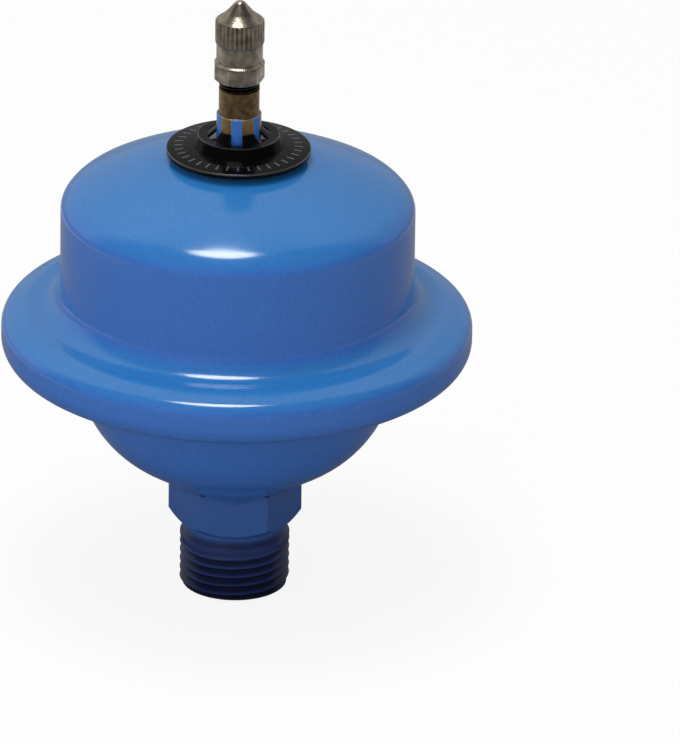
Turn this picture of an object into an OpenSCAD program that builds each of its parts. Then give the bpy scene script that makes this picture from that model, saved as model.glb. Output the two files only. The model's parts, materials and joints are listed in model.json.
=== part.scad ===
// Water hammer arrestor: a small pre-charged steel vessel with a rubber diaphragm.
// Two drawn shells are rolled together over the diaphragm's bead. Water enters at the
// threaded nipple below, and the gas is filled through the valve stem on top.
// Millimetres, +Z up, origin at the centre of the nipple's threaded end face.

/* [Rim] */
// Outer radius of the rolled rim
rim_r = 44.75; // [42.5:0.05:50]
// Height of the rim from its rolled lip to the foot of the body's fillet
rim_h = 10.2; // [9.6:0.1:14]
// Fall of the rim's top face towards its edge, in degrees
rim_slope = 11; // [4:0.5:15]
// Rounding of the rim's upper edge
rim_top_round = 2.8; // [2:0.1:3.6]
// Rounding of the rim's lower edge
rim_low_round = 4.2; // [3:0.1:4.8]
// Width of the flat lip that is rolled under the lower shell's flange
lip_w = 4.05; // [1.5:0.05:6]

/* [Upper shell] */
// Sheet thickness of both shells
wall = 1.2; // [0.8:0.05:1.5]
// Outer radius of the cylindrical body
body_r = 33.6; // [31:0.1:35]
// Length of the body's straight wall
body_straight = 16.2; // [8:0.1:30]
// Fillet between the body and the rim
body_fillet = 3.7; // [2:0.1:4.5]
// Radius of the knuckle at the top of the body's wall
knuckle_r = 3.2; // [2:0.05:7]
// Bend of the knuckle before the softer haunch takes over, in degrees
knuckle_bend = 35; // [30:1:40]
// Radius of the haunch between the knuckle and the crown
haunch_r = 8; // [5:0.5:14]
// Crown radius of the dome
crown_r = 64.5; // [45:0.5:90]
// Radius of the flat seat for the valve at the dome's centre
valve_seat_r = 8; // [7.2:0.1:10]

/* [Lower shell] */
// Outer radius of the bowl below the rim
bowl_r = 30.4; // [28:0.1:32.5]
// Radius of the bowl's side in section
bowl_round = 22; // [17:0.1:24]
// Slope of the bowl's conical bottom, in degrees
bowl_slope = 32.5; // [25:0.5:40]
// Radius of the bowl's flat bottom, where the nipple is brazed on
bowl_flat_r = 12.2; // [11.6:0.1:14]
// Straight wall of the bowl below the flange
bowl_straight = 0.5; // [0.1:0.1:6]
// Fillet between the bowl and its flange
flange_fillet = 2; // [1.2:0.1:3]

/* [Diaphragm] */
// Thickness of the rubber sheet
rubber = 1.6; // [0.8:0.1:2.2]
// Radial width of the bead that is clamped in the rim
bead_w = 6.8; // [5:0.1:7]
// Radius of the thicker pad over the water inlet
pad_r = 9.5; // [7:0.1:11]
// Extra thickness of that pad
pad_t = 1.5; // [0.6:0.1:4]

/* [Water nipple] */
// Outer radius of the pipe thread
thread_r = 10.48; // [10:0.01:11]
// Length of the threaded end
thread_len = 11.7; // [9:0.1:16]
// Chamfer at the thread's end
thread_chamfer = 0.5; // [0.4:0.1:1.5]
// Length of the thread's run-out into the neck
thread_runout = 1.4; // [0.6:0.1:2.5]
// Radius of the neck behind the thread
neck_r = 9.6; // [8.6:0.1:9.9]
// Length of the neck behind the thread
neck_len = 0.9; // [0.5:0.1:3]
// Width of the hexagon across its flats
hex_af = 22; // [21:0.1:23]
// Height of the hexagon, its chamfer included
hex_h = 9.4; // [6.5:0.1:14]
// Slope of the cone below the hexagon, in degrees
hex_cone = 37; // [25:1:45]
// Radius of the spigot brazed into the bowl
spigot_r = 8.2; // [7:0.1:9.5]
// Radius of the water inlet
inlet_r = 6; // [4:0.1:6.5]

/* [Valve stem] */
// Radius of the stem's plain lower step
step_r = 4.25; // [4:0.05:4.6]
// Height of that step above the dome's seat
step_h = 8.3; // [7:0.1:14]
// Radius of the stem's thread
stem_r = 3.87; // [3.6:0.01:3.95]
// Radius of the plain shank below the thread
shank_r = 3.76; // [3.5:0.01:3.9]
// Length of the plain shank
shank_len = 5.2; // [2:0.1:6.5]
// Length of the stem above its step
stem_len = 15; // [12:0.1:20]
// Radius of the flange inside the dome
stem_flange_r = 6.6; // [5.4:0.1:7]
// Thickness of the flange inside the dome
stem_flange_t = 1.8; // [1:0.1:3]

/* [Label disc] */
// Outer radius of the disc
disc_r = 13.7; // [12:0.1:16]
// Height of the disc's rim above the dome's seat
disc_rise = 1.55; // [1.4:0.05:2.2]
// Sheet thickness of the disc
disc_t = 0.5; // [0.3:0.05:0.7]
// Depth of the disc's turned-down edge
disc_edge = 0.95; // [0.75:0.05:1.2]
// Rise of the ring from its rim to the hub
ring_rise = 0.5; // [0:0.1:1]
// Radius of the raised hub's foot
hub_foot_r = 8.6; // [7.6:0.1:10]
// Radius of the raised hub's top edge
hub_r = 7.7; // [6.8:0.1:7.9]
// Height of the hub above the ring
hub_h = 2.2; // [1:0.1:3]
// Radius at the roots of the spring teeth
tooth_root_r = 5.9; // [5.2:0.1:6.4]
// Rise of a spring tooth from the hub to its tip
tooth_rise = 1.3; // [0.5:0.1:2]
// Depth of the gaps past the bend of the teeth
tooth_relief = 0.2; // [0.1:0.05:0.5]
// Number of spring teeth that grip the stem
tooth_count = 6; // [3:1:8]
// Angle of the gap between two teeth
tooth_gap = 28; // [16:1:32]
// Direction of the first gap
tooth_turn = 25; // [0:1:60]

/* [Valve cap] */
// Overall height of the cap
cap_h = 16.2; // [14.8:0.1:19]
// Length of the stem that is inside the cap
cap_cover = 8; // [5.5:0.1:9]
// Width of the cap's hexagon across its flats
cap_hex_af = 8.5; // [8.4:0.05:9]
// Height of the cap's hexagon
cap_hex_h = 4.1; // [2.5:0.1:5]
// Direction of one corner of the cap's hexagon
cap_hex_turn = 10; // [0:1:60]
// Radius of the smooth band above the hexagon
cap_band_r = 4.4; // [4.3:0.05:4.6]
// Height of the smooth band
cap_band_h = 3; // [1:0.1:4]
// Outer radius of the knurl
knurl_r = 4.65; // [4.5:0.05:4.9]
// Depth of the knurl's grooves
knurl_depth = 0.32; // [0.1:0.02:0.4]
// Length of the knurl
knurl_h = 5.1; // [3:0.1:5.5]
// Number of knurl teeth
knurl_count = 32; // [20:1:40]
// Rise of the flatter cone above the knurl
cone_low_h = 1.1; // [0.6:0.1:1.5]
// Radius of the crease between the two cones
cone_crease_r = 3.2; // [2:0.1:3.6]
// Radius of the cap's blunt tip
cap_tip_r = 0.7; // [0.3:0.1:1.5]
// Width of the small edges and steps that the tools leave on the cap
cap_edge = 0.12; // [0.05:0.01:0.2]
// Thickness of the seal inside the cap
cap_seal_t = 1; // [0.5:0.1:1.6]

/* [Valve core] */
// Depth of the pin's tip below the stem's top
pin_recess = 0.4; // [0.2:0.05:0.9]
// Height of the pin above the core's plug
pin_stand = 1.8; // [1.3:0.1:2.4]
// Radius of the pin
pin_r = 0.55; // [0.4:0.05:0.6]
// Travel of the pin when it is pressed
pin_travel = 1; // [0.5:0.1:1.2]
// Radius of the core's threaded plug
plug_r = 2.6; // [2.5:0.05:2.7]
// Length of the plug
plug_len = 4.6; // [3.6:0.1:6]
// Length of the plug's thread
plug_thread_len = 2.8; // [1.8:0.1:3.4]
// Width of the plug's driving bridge
bridge_w = 2.4; // [2:0.1:2.8]
// Thickness of the barrel's floor below the spring
barrel_floor_t = 1.7; // [1.2:0.1:3]
// Radius of the barrel's upper collar
barrel_r = 2.2; // [2.05:0.05:2.25]
// Radius of the barrel's tail
tail_r = 1.5; // [1.45:0.05:1.6]
// Height of the barrel's upper collar
barrel_collar_h = 0.8; // [0.4:0.1:1.2]
// Height of the gasket round the barrel
gasket_h = 2.2; // [1.4:0.1:2.6]
// Radius of the spring's chamber
chamber_r = 1.2; // [1.15:0.05:1.25]
// Wire thickness of the spring
wire = 0.24; // [0.15:0.01:0.26]
// Turns of the spring
spring_turns = 4.5; // [3:0.5:6]
// Radius of the cup that closes the core
cup_r = 1.65; // [1.6:0.05:1.75]
// Thickness of the cup's rubber seal
cup_seal_t = 0.8; // [0.6:0.05:1.2]

/* [Fits] */
// Gap between pieces that are clamped or brazed together
seat_gap = 0.05; // [0.02:0.01:0.1]
// Radial play of the cap's thread on the stem
thread_play = 0.08; // [0.03:0.01:0.1]
// Radial play of the core's moving pieces
core_play = 0.06; // [0.03:0.01:0.08]
// Play between the flange's edge and the rounded inside of the rim
flange_play = 0.25; // [0.1:0.05:0.6]
// Radial play of the core's barrel in the stem
barrel_play = 0.15; // [0.08:0.01:0.2]
// Radial way for the gas round the core's cup
gas_way = 0.3; // [0.2:0.05:0.35]

/* [Hidden] */
$fn = 96;
arc_steps = 10;
cut = 1;

paint_blue = "#2f6fc0";
paint_navy = "#1d3f86";
brass = "#a88850";
nickel = "#b9b2a6";
rubber_black = "#26282b";
disc_black = "#1b1b1d";
spring_steel = "#9a9da0";

// Heights of the nipple and the bowl
z_hex_low = thread_len + neck_len;
z_bowl = z_hex_low + hex_h;
hex_corner_r = hex_af / 2 / cos(30);
bowl_round_r = bowl_r - bowl_round;
bowl_tangent_r = bowl_round_r + bowl_round * sin(bowl_slope);
z_bowl_tangent = z_bowl + (bowl_tangent_r - bowl_flat_r) * tan(bowl_slope);
z_bowl_round = z_bowl_tangent + bowl_round * cos(bowl_slope);

// Heights of the rim, the body and the dome
flange_r = rim_r - rim_low_round - flange_play;
lip_r = rim_r - rim_low_round - lip_w;
z_flange = z_bowl_round + bowl_straight + flange_fillet;
z_lip = z_flange - seat_gap - wall;
z_foot = z_lip + rim_h;
foot_r = body_r + body_fillet * (1 - sin(rim_slope));
z_body_fillet = z_foot + body_fillet * cos(rim_slope);
rim_edge_r = rim_r - rim_top_round * (1 - sin(rim_slope));
z_rim_top = z_foot - (rim_edge_r - foot_r) * tan(rim_slope) - rim_top_round * cos(rim_slope);
z_rim_low = z_lip + rim_low_round;
z_knuckle = z_body_fillet + body_straight;
knuckle_c = body_r - knuckle_r;
haunch_c = knuckle_c - (haunch_r - knuckle_r) * cos(knuckle_bend);
z_haunch = z_knuckle - (haunch_r - knuckle_r) * sin(knuckle_bend);
z_crown = z_haunch - sqrt(pow(crown_r - haunch_r, 2) - pow(haunch_c, 2));
haunch_angle = atan2(z_haunch - z_crown, haunch_c);
z_seat = z_crown + sqrt(pow(crown_r, 2) - pow(valve_seat_r, 2));

// Heights of the stem, the cap and the label disc
z_step = z_seat + step_h;
z_stem = z_step + stem_len;
z_cap = z_stem - cap_cover;
z_cap_top = z_cap + cap_h;
z_cap_seal = z_stem + seat_gap;
z_cap_bore = z_cap_seal + cap_seal_t + seat_gap;
cap_bore_r = stem_r + thread_play;
z_band = z_cap + cap_hex_h;
z_knurl = z_band + cap_band_h;
z_shoulder = z_knurl + knurl_h;
z_crease = z_shoulder + cone_low_h;
z_disc = z_seat + disc_rise;
z_ring = z_disc + ring_rise;
z_hub = z_ring + hub_h;
z_tooth = z_hub + tooth_rise;
tooth_tip_r = step_r + seat_gap;

// Heights of the valve core, from the stem's top down
z_pin = z_stem - pin_recess;
z_plug = z_pin - pin_stand;
z_barrel = z_plug - plug_len - seat_gap;
z_gasket = z_barrel - barrel_collar_h;
pin_collar_t = 0.5;
pin_collar_drop = 0.15;
spring_spare = 0.33;
spring_solid = wire * (spring_turns + 1);
z_collar = z_barrel - pin_collar_drop;
z_chamber = z_collar - pin_collar_t - pin_travel - spring_solid - spring_spare;
z_tail = z_chamber - barrel_floor_t;
z_cup_seal = z_tail - seat_gap;
cup_seal_stand = 0.2;
z_cup = z_cup_seal - cup_seal_stand;
z_cup_floor = z_cup_seal - cup_seal_t - seat_gap;
cup_floor_t = 0.5;
cup_wall = 0.18;
pin_tail = 0.4;
pin_collar_r = chamber_r - 2 * core_play;
z_pin_low = z_cup_floor - cup_floor_t - pin_tail;
core_bore_r = barrel_r + barrel_play;
core_seat_r = cup_r + gas_way;
plug_bore_r = plug_r + seat_gap;
small_chamfer = 0.35;

// Points along an arc about a centre, from one angle to another
function arc(centre, r, from, to) = [
    for (i = [0 : arc_steps])
        let (a = from + (to - from) * i / arc_steps)
        centre + r * [cos(a), sin(a)]
];

// The same points in the opposite order
function reversed(points) = [for (i = [len(points) - 1 : -1 : 0]) points[i]];

// Section of the upper shell at a depth below its outer face, from the valve's hole to the lip
function upper_path(depth, hole_r) =
    let (crown = crown_r - depth)
    let (seat_corner = sqrt(pow(crown, 2) - pow(z_seat - depth - z_crown, 2)))
    concat(
        [[hole_r, z_seat - depth]],
        arc([0, z_crown], crown, acos(seat_corner / crown), haunch_angle),
        arc([haunch_c, z_haunch], haunch_r - depth, haunch_angle, knuckle_bend),
        arc([knuckle_c, z_knuckle], knuckle_r - depth, knuckle_bend, 0),
        arc([body_r + body_fillet, z_body_fillet], body_fillet + depth, 180, 270 - rim_slope),
        arc([rim_r - rim_top_round, z_rim_top], rim_top_round - depth, 90 - rim_slope, 0),
        arc([rim_r - rim_low_round, z_rim_low], rim_low_round - depth, 0, -90),
        [[lip_r, z_lip + depth]]
    );

// Section of the bowl at a depth above its outer face, from a radius on the flange to one at the bottom
function bowl_path(depth, outer_r, inner_r) = concat(
    [[outer_r, z_flange + depth]],
    arc([bowl_r + flange_fillet, z_flange - flange_fillet], flange_fillet + depth, 90, 180),
    arc([bowl_round_r, z_bowl_round], bowl_round - depth, 0, bowl_slope - 90),
    [[bowl_flat_r - depth * tan(bowl_slope / 2), z_bowl + depth], [inner_r, z_bowl + depth]]
);

// Height of the rim's inner face, less the clamping gap, at a radius
function rim_ceiling(r) = z_foot - (r - foot_r) * tan(rim_slope) - (wall + seat_gap) / cos(rim_slope);

// A hexagonal bar with one corner towards +X, between two heights
module hex_bar(across_flats, low, high) {
    translate([0, 0, low])
        cylinder(r = across_flats / 2 / cos(30), h = high - low, $fn = 6);
}

// Drawn dome, cylindrical body and rim, with its edge rolled under the lower shell's flange
module upper_shell() {
    hole_r = step_r + seat_gap;
    color(paint_blue)
        rotate_extrude()
            polygon(concat(upper_path(0, hole_r), reversed(upper_path(wall, hole_r))));
}

// Drawn bowl with a flat bottom for the nipple and a flange for the bead
module lower_shell() {
    hole_r = spigot_r + seat_gap;
    color(paint_blue)
        rotate_extrude()
            polygon(concat(bowl_path(0, flange_r, hole_r), reversed(bowl_path(wall, flange_r, hole_r))));
}

// Moulded rubber sheet that lies in the bowl at rest. Its bead fills the rim and hooks over the
// flange's edge, and a thicker pad covers the water inlet.
module diaphragm() {
    under = wall + seat_gap;
    over = under + rubber;
    hook_r = flange_r + seat_gap;
    bead_in_r = rim_r - under - bead_w;
    z_pad = z_bowl + over + pad_t;
    color(rubber_black)
        rotate_extrude()
            polygon(concat(
                reversed(bowl_path(under, hook_r, 0)),
                arc([rim_r - rim_low_round, z_rim_low], rim_low_round - under, -90, 0),
                arc([rim_r - rim_top_round, z_rim_top], rim_top_round - under, 0, 90 - rim_slope),
                [[bead_in_r, rim_ceiling(bead_in_r)]],
                bowl_path(over, bead_in_r, pad_r),
                [[pad_r - pad_t / 2, z_pad], [0, z_pad]]
            ));
}

// Turned nipple: pipe thread, neck, hexagon and a spigot brazed into the bowl
module water_nipple() {
    z_top = z_bowl + wall;
    cone_r = hex_corner_r + cut;
    color(paint_navy)
        difference() {
            union() {
                rotate_extrude()
                    polygon([
                        [0, 0], [thread_r - thread_chamfer, 0], [thread_r, thread_chamfer],
                        [thread_r, thread_len - thread_runout], [neck_r, thread_len], [neck_r, z_bowl],
                        [spigot_r, z_bowl], [spigot_r, z_top], [0, z_top]
                    ]);
                intersection() {
                    hex_bar(hex_af, z_hex_low, z_bowl);
                    rotate_extrude()
                        polygon([
                            [0, z_hex_low], [neck_r, z_hex_low],
                            [cone_r, z_hex_low + (cone_r - neck_r) * tan(hex_cone)],
                            [cone_r, z_bowl], [0, z_bowl]
                        ]);
                }
            }
            translate([0, 0, -cut])
                cylinder(r = inlet_r, h = z_top + 2 * cut);
            translate([0, 0, -cut])
                cylinder(r1 = inlet_r + thread_chamfer + cut, r2 = inlet_r, h = thread_chamfer + cut);
        }
}

// Turned brass stem with a flange under the dome and a stepped bore for the valve core
module valve_stem() {
    z_flange_top = z_seat - wall - seat_gap;
    z_flange_low = z_flange_top - stem_flange_t;
    z_seat_low = z_gasket - gasket_h;
    z_thread = z_step + shank_len;
    color(brass)
        rotate_extrude()
            polygon([
                [core_seat_r, z_flange_low], [stem_flange_r, z_flange_low], [stem_flange_r, z_flange_top],
                [step_r, z_flange_top], [step_r, z_step - small_chamfer], [step_r - small_chamfer, z_step],
                [shank_r, z_step], [shank_r, z_thread], [stem_r, z_thread + stem_r - shank_r],
                [stem_r, z_stem - small_chamfer], [stem_r - small_chamfer, z_stem],
                [plug_bore_r + small_chamfer / 2, z_stem], [plug_bore_r, z_stem - small_chamfer],
                [plug_bore_r, z_barrel], [core_bore_r, z_barrel], [core_bore_r, z_gasket],
                [core_seat_r, z_seat_low]
            ]);
}

// Pressed black disc with a turned-down edge, a raised hub and spring teeth that grip the stem
module label_disc() {
    top = [[hub_foot_r, z_ring], [hub_r, z_hub], [tooth_root_r, z_hub], [tooth_tip_r, z_tooth]];
    edge_in_r = disc_r - disc_t;
    color(disc_black)
        difference() {
            rotate_extrude()
                polygon(concat(
                    [[edge_in_r, z_disc - disc_edge], [disc_r, z_disc - disc_edge], [disc_r, z_disc]],
                    top,
                    [for (p = reversed(top)) p - [0, disc_t]],
                    [[edge_in_r, z_disc - disc_t]]
                ));
            for (i = [0 : tooth_count - 1])
                rotate(tooth_turn + i * 360 / tooth_count)
                    translate([0, 0, z_hub - disc_t - cut])
                        linear_extrude(tooth_rise + disc_t + 2 * cut)
                            tooth_gap_section();
        }
}

// Sector that is cut between two spring teeth, along +X
module tooth_gap_section() {
    gap_r = tooth_root_r + tooth_relief;
    side = (gap_r + cut) / cos(tooth_gap / 2);
    half = tooth_gap / 2;
    intersection() {
        circle(r = gap_r);
        polygon([[0, 0], side * [cos(half), -sin(half)], side * [cos(half), sin(half)]]);
    }
}

// Section of the knurl: a ring of pointed teeth
module knurl_section() {
    pitch = 360 / knurl_count;
    half_crest = 0.12 * pitch;
    root_r = knurl_r - knurl_depth;
    polygon([
        for (i = [0 : knurl_count - 1])
            let (a = i * pitch)
            each [
                knurl_r * [cos(a - half_crest), sin(a - half_crest)],
                knurl_r * [cos(a + half_crest), sin(a + half_crest)],
                root_r * [cos(a + pitch / 2), sin(a + pitch / 2)]
            ]
    ]);
}

// Plated screw cap with a hexagon, a smooth band, a knurl and a pointed top
module valve_cap() {
    color(nickel)
        difference() {
            union() {
                cap_hexagon();
                cap_knurl();
                cap_body();
            }
            translate([0, 0, z_cap - cut])
                cylinder(r = cap_bore_r, h = z_cap_bore - z_cap + cut);
        }
}

// Hexagon of the cap, with its corners bevelled above and below
module cap_hexagon() {
    stock_r = cap_hex_af / 2 / cos(30) + cut;
    low_r = cap_hex_af / 2 - cap_edge;
    high_r = cap_band_r - cap_edge;
    bevel = tan(30);
    intersection() {
        rotate(cap_hex_turn)
            hex_bar(cap_hex_af, z_cap, z_band);
        rotate_extrude()
            polygon([
                [0, z_cap], [low_r, z_cap], [stock_r, z_cap + (stock_r - low_r) * bevel],
                [stock_r, z_band - (stock_r - high_r) * bevel], [high_r, z_band], [0, z_band]
            ]);
    }
}

// Knurl of the cap, with its teeth bevelled above and below
module cap_knurl() {
    stock_r = knurl_r + cap_edge;
    end_r = knurl_r - knurl_depth - cap_edge;
    bevel = stock_r - end_r;
    intersection() {
        translate([0, 0, z_knurl])
            linear_extrude(knurl_h)
                knurl_section();
        rotate_extrude()
            polygon([
                [0, z_knurl], [end_r, z_knurl], [stock_r, z_knurl + bevel],
                [stock_r, z_shoulder - bevel], [end_r, z_shoulder], [0, z_shoulder]
            ]);
    }
}

// Turned body of the cap: the core of the hexagon, the smooth band, the core of the knurl and two cones
module cap_body() {
    hex_core_r = cap_hex_af / 2 - cap_edge;
    knurl_core_r = (knurl_r - knurl_depth) * cos(180 / knurl_count) - cap_edge;
    z_band_low = z_band - cap_edge;
    tip_flat_r = cap_tip_r / 2;
    rotate_extrude()
        polygon([
            [0, z_cap], [hex_core_r, z_cap], [hex_core_r, z_band_low], [cap_band_r, z_band_low],
            [cap_band_r, z_knurl], [knurl_core_r, z_knurl], [knurl_core_r, z_shoulder],
            [cone_crease_r, z_crease], [cap_tip_r, z_cap_top - (cap_tip_r - tip_flat_r) * tan(30)],
            [tip_flat_r, z_cap_top], [0, z_cap_top]
        ]);
}

// Rubber seal at the end of the cap's bore
module cap_seal() {
    color(rubber_black)
        translate([0, 0, z_cap_seal])
            cylinder(r = cap_bore_r - thread_play, h = cap_seal_t);
}

// Threaded plug of the valve core, with a bridge for the driving tool
module core_plug() {
    z_low = z_plug - plug_len;
    color(brass)
        difference() {
            union() {
                translate([0, 0, z_low])
                    cylinder(r = plug_r, h = plug_thread_len);
                intersection() {
                    translate([0, 0, z_low])
                        cylinder(r = plug_r, h = plug_len);
                    translate([-plug_r, -bridge_w / 2, z_low])
                        cube([2 * plug_r, bridge_w, plug_len]);
                }
            }
            translate([0, 0, z_low - cut])
                cylinder(r = pin_r + core_play, h = plug_len + 2 * cut);
        }
}

// Barrel of the valve core, with a groove for its gasket and a chamber for the spring
module core_barrel() {
    z_groove_low = z_gasket - gasket_h;
    tail_collar_h = 0.5;
    color(brass)
        rotate_extrude()
            polygon([
                [chamber_r, z_barrel], [barrel_r, z_barrel], [barrel_r, z_gasket], [tail_r, z_gasket],
                [tail_r, z_groove_low], [cup_r, z_groove_low], [cup_r, z_groove_low - tail_collar_h],
                [tail_r, z_groove_low - tail_collar_h], [tail_r, z_tail], [pin_r + 3 * core_play, z_tail],
                [pin_r + 3 * core_play, z_chamber], [chamber_r, z_chamber]
            ]);
}

// Tapered gasket round the barrel, which seals on the cone inside the stem
module core_gasket() {
    color(rubber_black)
        rotate_extrude()
            polygon([
                [tail_r + seat_gap, z_gasket - seat_gap], [core_bore_r - seat_gap, z_gasket - seat_gap],
                [core_seat_r - seat_gap, z_gasket - gasket_h + seat_gap],
                [tail_r + seat_gap, z_gasket - gasket_h + seat_gap]
            ]);
}

// Pin that opens the valve when it is pressed, with a collar for the spring
module core_pin() {
    color(nickel)
        rotate_extrude()
            polygon([
                [0, z_pin_low], [pin_r, z_pin_low], [pin_r, z_collar - pin_collar_t],
                [pin_collar_r, z_collar - pin_collar_t], [pin_collar_r, z_collar], [pin_r, z_collar],
                [pin_r, z_pin - pin_r / 2], [pin_r / 2, z_pin], [0, z_pin]
            ]);
}

// Helical return spring between the pin's collar and the floor of the barrel's chamber
module core_spring() {
    sides = 8;
    rings_per_turn = 14;
    rings = spring_turns * rings_per_turn;
    coil_r = (pin_r + chamber_r) / 2;
    z_low = z_chamber + wire / 2 + seat_gap;
    z_high = z_collar - pin_collar_t - wire / 2 - seat_gap;
    points = [
        for (i = [0 : rings])
            for (j = [0 : sides - 1])
                let (turn = i * 360 / rings_per_turn)
                let (around = j * 360 / sides)
                let (r = coil_r + wire / 2 * cos(around))
                [r * cos(turn), r * sin(turn), z_low + (z_high - z_low) * i / rings + wire / 2 * sin(around)]
    ];
    skin = [
        for (i = [0 : rings - 1])
            for (j = [0 : sides - 1])
                let (k = (j + 1) % sides)
                [i * sides + j, i * sides + k, (i + 1) * sides + k, (i + 1) * sides + j]
    ];
    first = [for (j = [sides - 1 : -1 : 0]) j];
    last = [for (j = [0 : sides - 1]) rings * sides + j];
    color(spring_steel)
        polyhedron(points, concat(skin, [first, last]));
}

// Cup on the pin's lower end, which holds the seal against the barrel
module core_cup() {
    recess_r = cup_r - cup_wall;
    hole_r = pin_r + seat_gap;
    z_low = z_cup_floor - cup_floor_t;
    color(brass)
        rotate_extrude()
            polygon([
                [hole_r, z_low], [cup_r, z_low], [cup_r, z_cup], [recess_r, z_cup],
                [recess_r, z_cup_floor], [hole_r, z_cup_floor]
            ]);
}

// Rubber ring in the cup
module core_cup_seal() {
    color(rubber_black)
        translate([0, 0, z_cup_seal - cup_seal_t])
            difference() {
                cylinder(r = cup_r - cup_wall - seat_gap, h = cup_seal_t);
                translate([0, 0, -cut])
                    cylinder(r = pin_r + seat_gap, h = cup_seal_t + 2 * cut);
            }
}

upper_shell();
lower_shell();
diaphragm();
water_nipple();
valve_stem();
label_disc();
valve_cap();
cap_seal();
core_plug();
core_barrel();
core_gasket();
core_pin();
core_spring();
core_cup();
core_cup_seal();
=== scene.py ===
# %% [markdown]
# # A water hammer arrestor, dressed over its frame
# The arrestor is a small blue steel vessel: a dome and a bowl rolled together at a wide rim, a threaded
# nipple below for the water, and a capped gas valve on top. The frame that is loaded here has every piece
# at its real size and place. This lesson gives each piece that shows its finer form and its finish.

# %% Load the frame
import json
import math

import bmesh
import bpy
from mathutils import Matrix, Vector


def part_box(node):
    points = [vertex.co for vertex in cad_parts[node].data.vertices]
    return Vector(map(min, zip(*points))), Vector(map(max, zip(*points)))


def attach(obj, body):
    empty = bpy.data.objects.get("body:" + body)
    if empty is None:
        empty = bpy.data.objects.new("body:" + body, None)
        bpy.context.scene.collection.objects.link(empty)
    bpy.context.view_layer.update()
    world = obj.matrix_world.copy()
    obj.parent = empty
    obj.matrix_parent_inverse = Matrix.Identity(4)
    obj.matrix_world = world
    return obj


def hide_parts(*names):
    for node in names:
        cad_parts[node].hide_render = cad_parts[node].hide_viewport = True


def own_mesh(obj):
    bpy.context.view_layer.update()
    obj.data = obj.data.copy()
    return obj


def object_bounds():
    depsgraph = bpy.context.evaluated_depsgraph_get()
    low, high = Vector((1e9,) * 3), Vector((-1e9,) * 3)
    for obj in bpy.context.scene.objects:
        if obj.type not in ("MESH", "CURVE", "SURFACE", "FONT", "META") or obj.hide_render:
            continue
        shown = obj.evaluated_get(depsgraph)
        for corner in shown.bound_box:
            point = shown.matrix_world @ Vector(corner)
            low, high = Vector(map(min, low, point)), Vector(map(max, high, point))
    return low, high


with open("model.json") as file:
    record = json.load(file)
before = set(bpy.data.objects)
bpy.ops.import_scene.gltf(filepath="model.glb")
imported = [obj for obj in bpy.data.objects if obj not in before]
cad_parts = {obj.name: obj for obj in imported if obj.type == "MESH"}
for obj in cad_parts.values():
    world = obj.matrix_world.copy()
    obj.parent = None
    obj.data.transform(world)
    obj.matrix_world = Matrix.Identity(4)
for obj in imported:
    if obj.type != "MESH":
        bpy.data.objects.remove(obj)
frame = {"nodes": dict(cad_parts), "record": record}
cad_low, cad_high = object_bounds()
print("frame of", len(frame["nodes"]), "pieces, box", [round(v * 1000, 1) for v in (*cad_low, *cad_high)])

# %% [markdown]
# ## The camera
# The picture was taken from a little above with a long lens, so upright lines stay parallel. A long lens
# on a perspective camera does the same and, unlike an orthographic one, still fits itself to other views.
# The distance is chosen first, and the lens then follows from how many millimetres one pixel covers.

# %% Place the camera
MM = 0.001
FRAME_HEIGHT_PX = 743
FRAME_WIDTH_PX = 680
PIXEL_MM = 0.19
CAMERA_DISTANCE_MM = 2500
CAMERA_ELEVATION = math.radians(23.9)
CAMERA_ROLL = math.radians(0.8)
CAMERA_REACH_M = 20
SENSOR_MM = 36
AIM_MM = Vector((0, 0, 51.6))
AIM_PX = (236.75, 331.9)

forward = Vector((0, math.cos(CAMERA_ELEVATION), -math.sin(CAMERA_ELEVATION)))
level_up = Vector((0, math.sin(CAMERA_ELEVATION), math.cos(CAMERA_ELEVATION)))
level_right = Vector((1, 0, 0))
right = level_right * math.cos(CAMERA_ROLL) + level_up * math.sin(CAMERA_ROLL)
up = level_up * math.cos(CAMERA_ROLL) - level_right * math.sin(CAMERA_ROLL)

across = (FRAME_WIDTH_PX / 2 - AIM_PX[0]) * PIXEL_MM
down = (FRAME_HEIGHT_PX / 2 - AIM_PX[1]) * PIXEL_MM
centre = AIM_MM + right * across - up * down
camera_data = bpy.data.cameras.new("camera")
camera_data.sensor_width = SENSOR_MM
camera_data.lens = SENSOR_MM * CAMERA_DISTANCE_MM / (FRAME_HEIGHT_PX * PIXEL_MM)
camera_data.clip_end = CAMERA_REACH_M
camera = bpy.data.objects.new("camera", camera_data)
turn = Matrix((right, up, -forward)).transposed().to_4x4()
camera.matrix_world = Matrix.Translation((centre - forward * CAMERA_DISTANCE_MM) * MM) @ turn
bpy.context.scene.collection.objects.link(camera)
bpy.context.scene.camera = camera
bpy.context.scene.view_settings.view_transform = "Standard"
print("lens", round(camera_data.lens, 1), "mm")

# %% [markdown]
# ## Floor, backdrop and lamps
# The object stands before plain white in soft light. Raising the lamps until the floor turns white would
# bleach the paint, so the world and the floor answer three questions apart: what the camera sees, what
# gloss mirrors, and what light they give. The Light Path node tells which one is asked. The camera sees
# white, and rays that only carry light meet plain grey. Mirrored rays find a dim room, because a glossy
# dome that mirrors white on all sides would look like chalk.

# %% Node and colour helpers


def linear(hex_colour):
    """An sRGB hex colour as the linear red, green, blue and alpha that a shader wants."""
    parts = [int(hex_colour[i:i + 2], 16) / 255 for i in (1, 3, 5)]
    return [p / 12.92 if p <= 0.04045 else ((p + 0.055) / 1.055) ** 2.4 for p in parts] + [1]


def add(tree, kind, links=None, **settings):
    """A new node with its settings; links gives each socket a value or another node's output."""
    node = tree.nodes.new(kind)
    for name, value in settings.items():
        setattr(node, name, value)
    for socket, source in (links or {}).items():
        if isinstance(source, bpy.types.NodeSocket):
            tree.links.new(source, node.inputs[socket])
        else:
            node.inputs[socket].default_value = source
    return node


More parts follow.
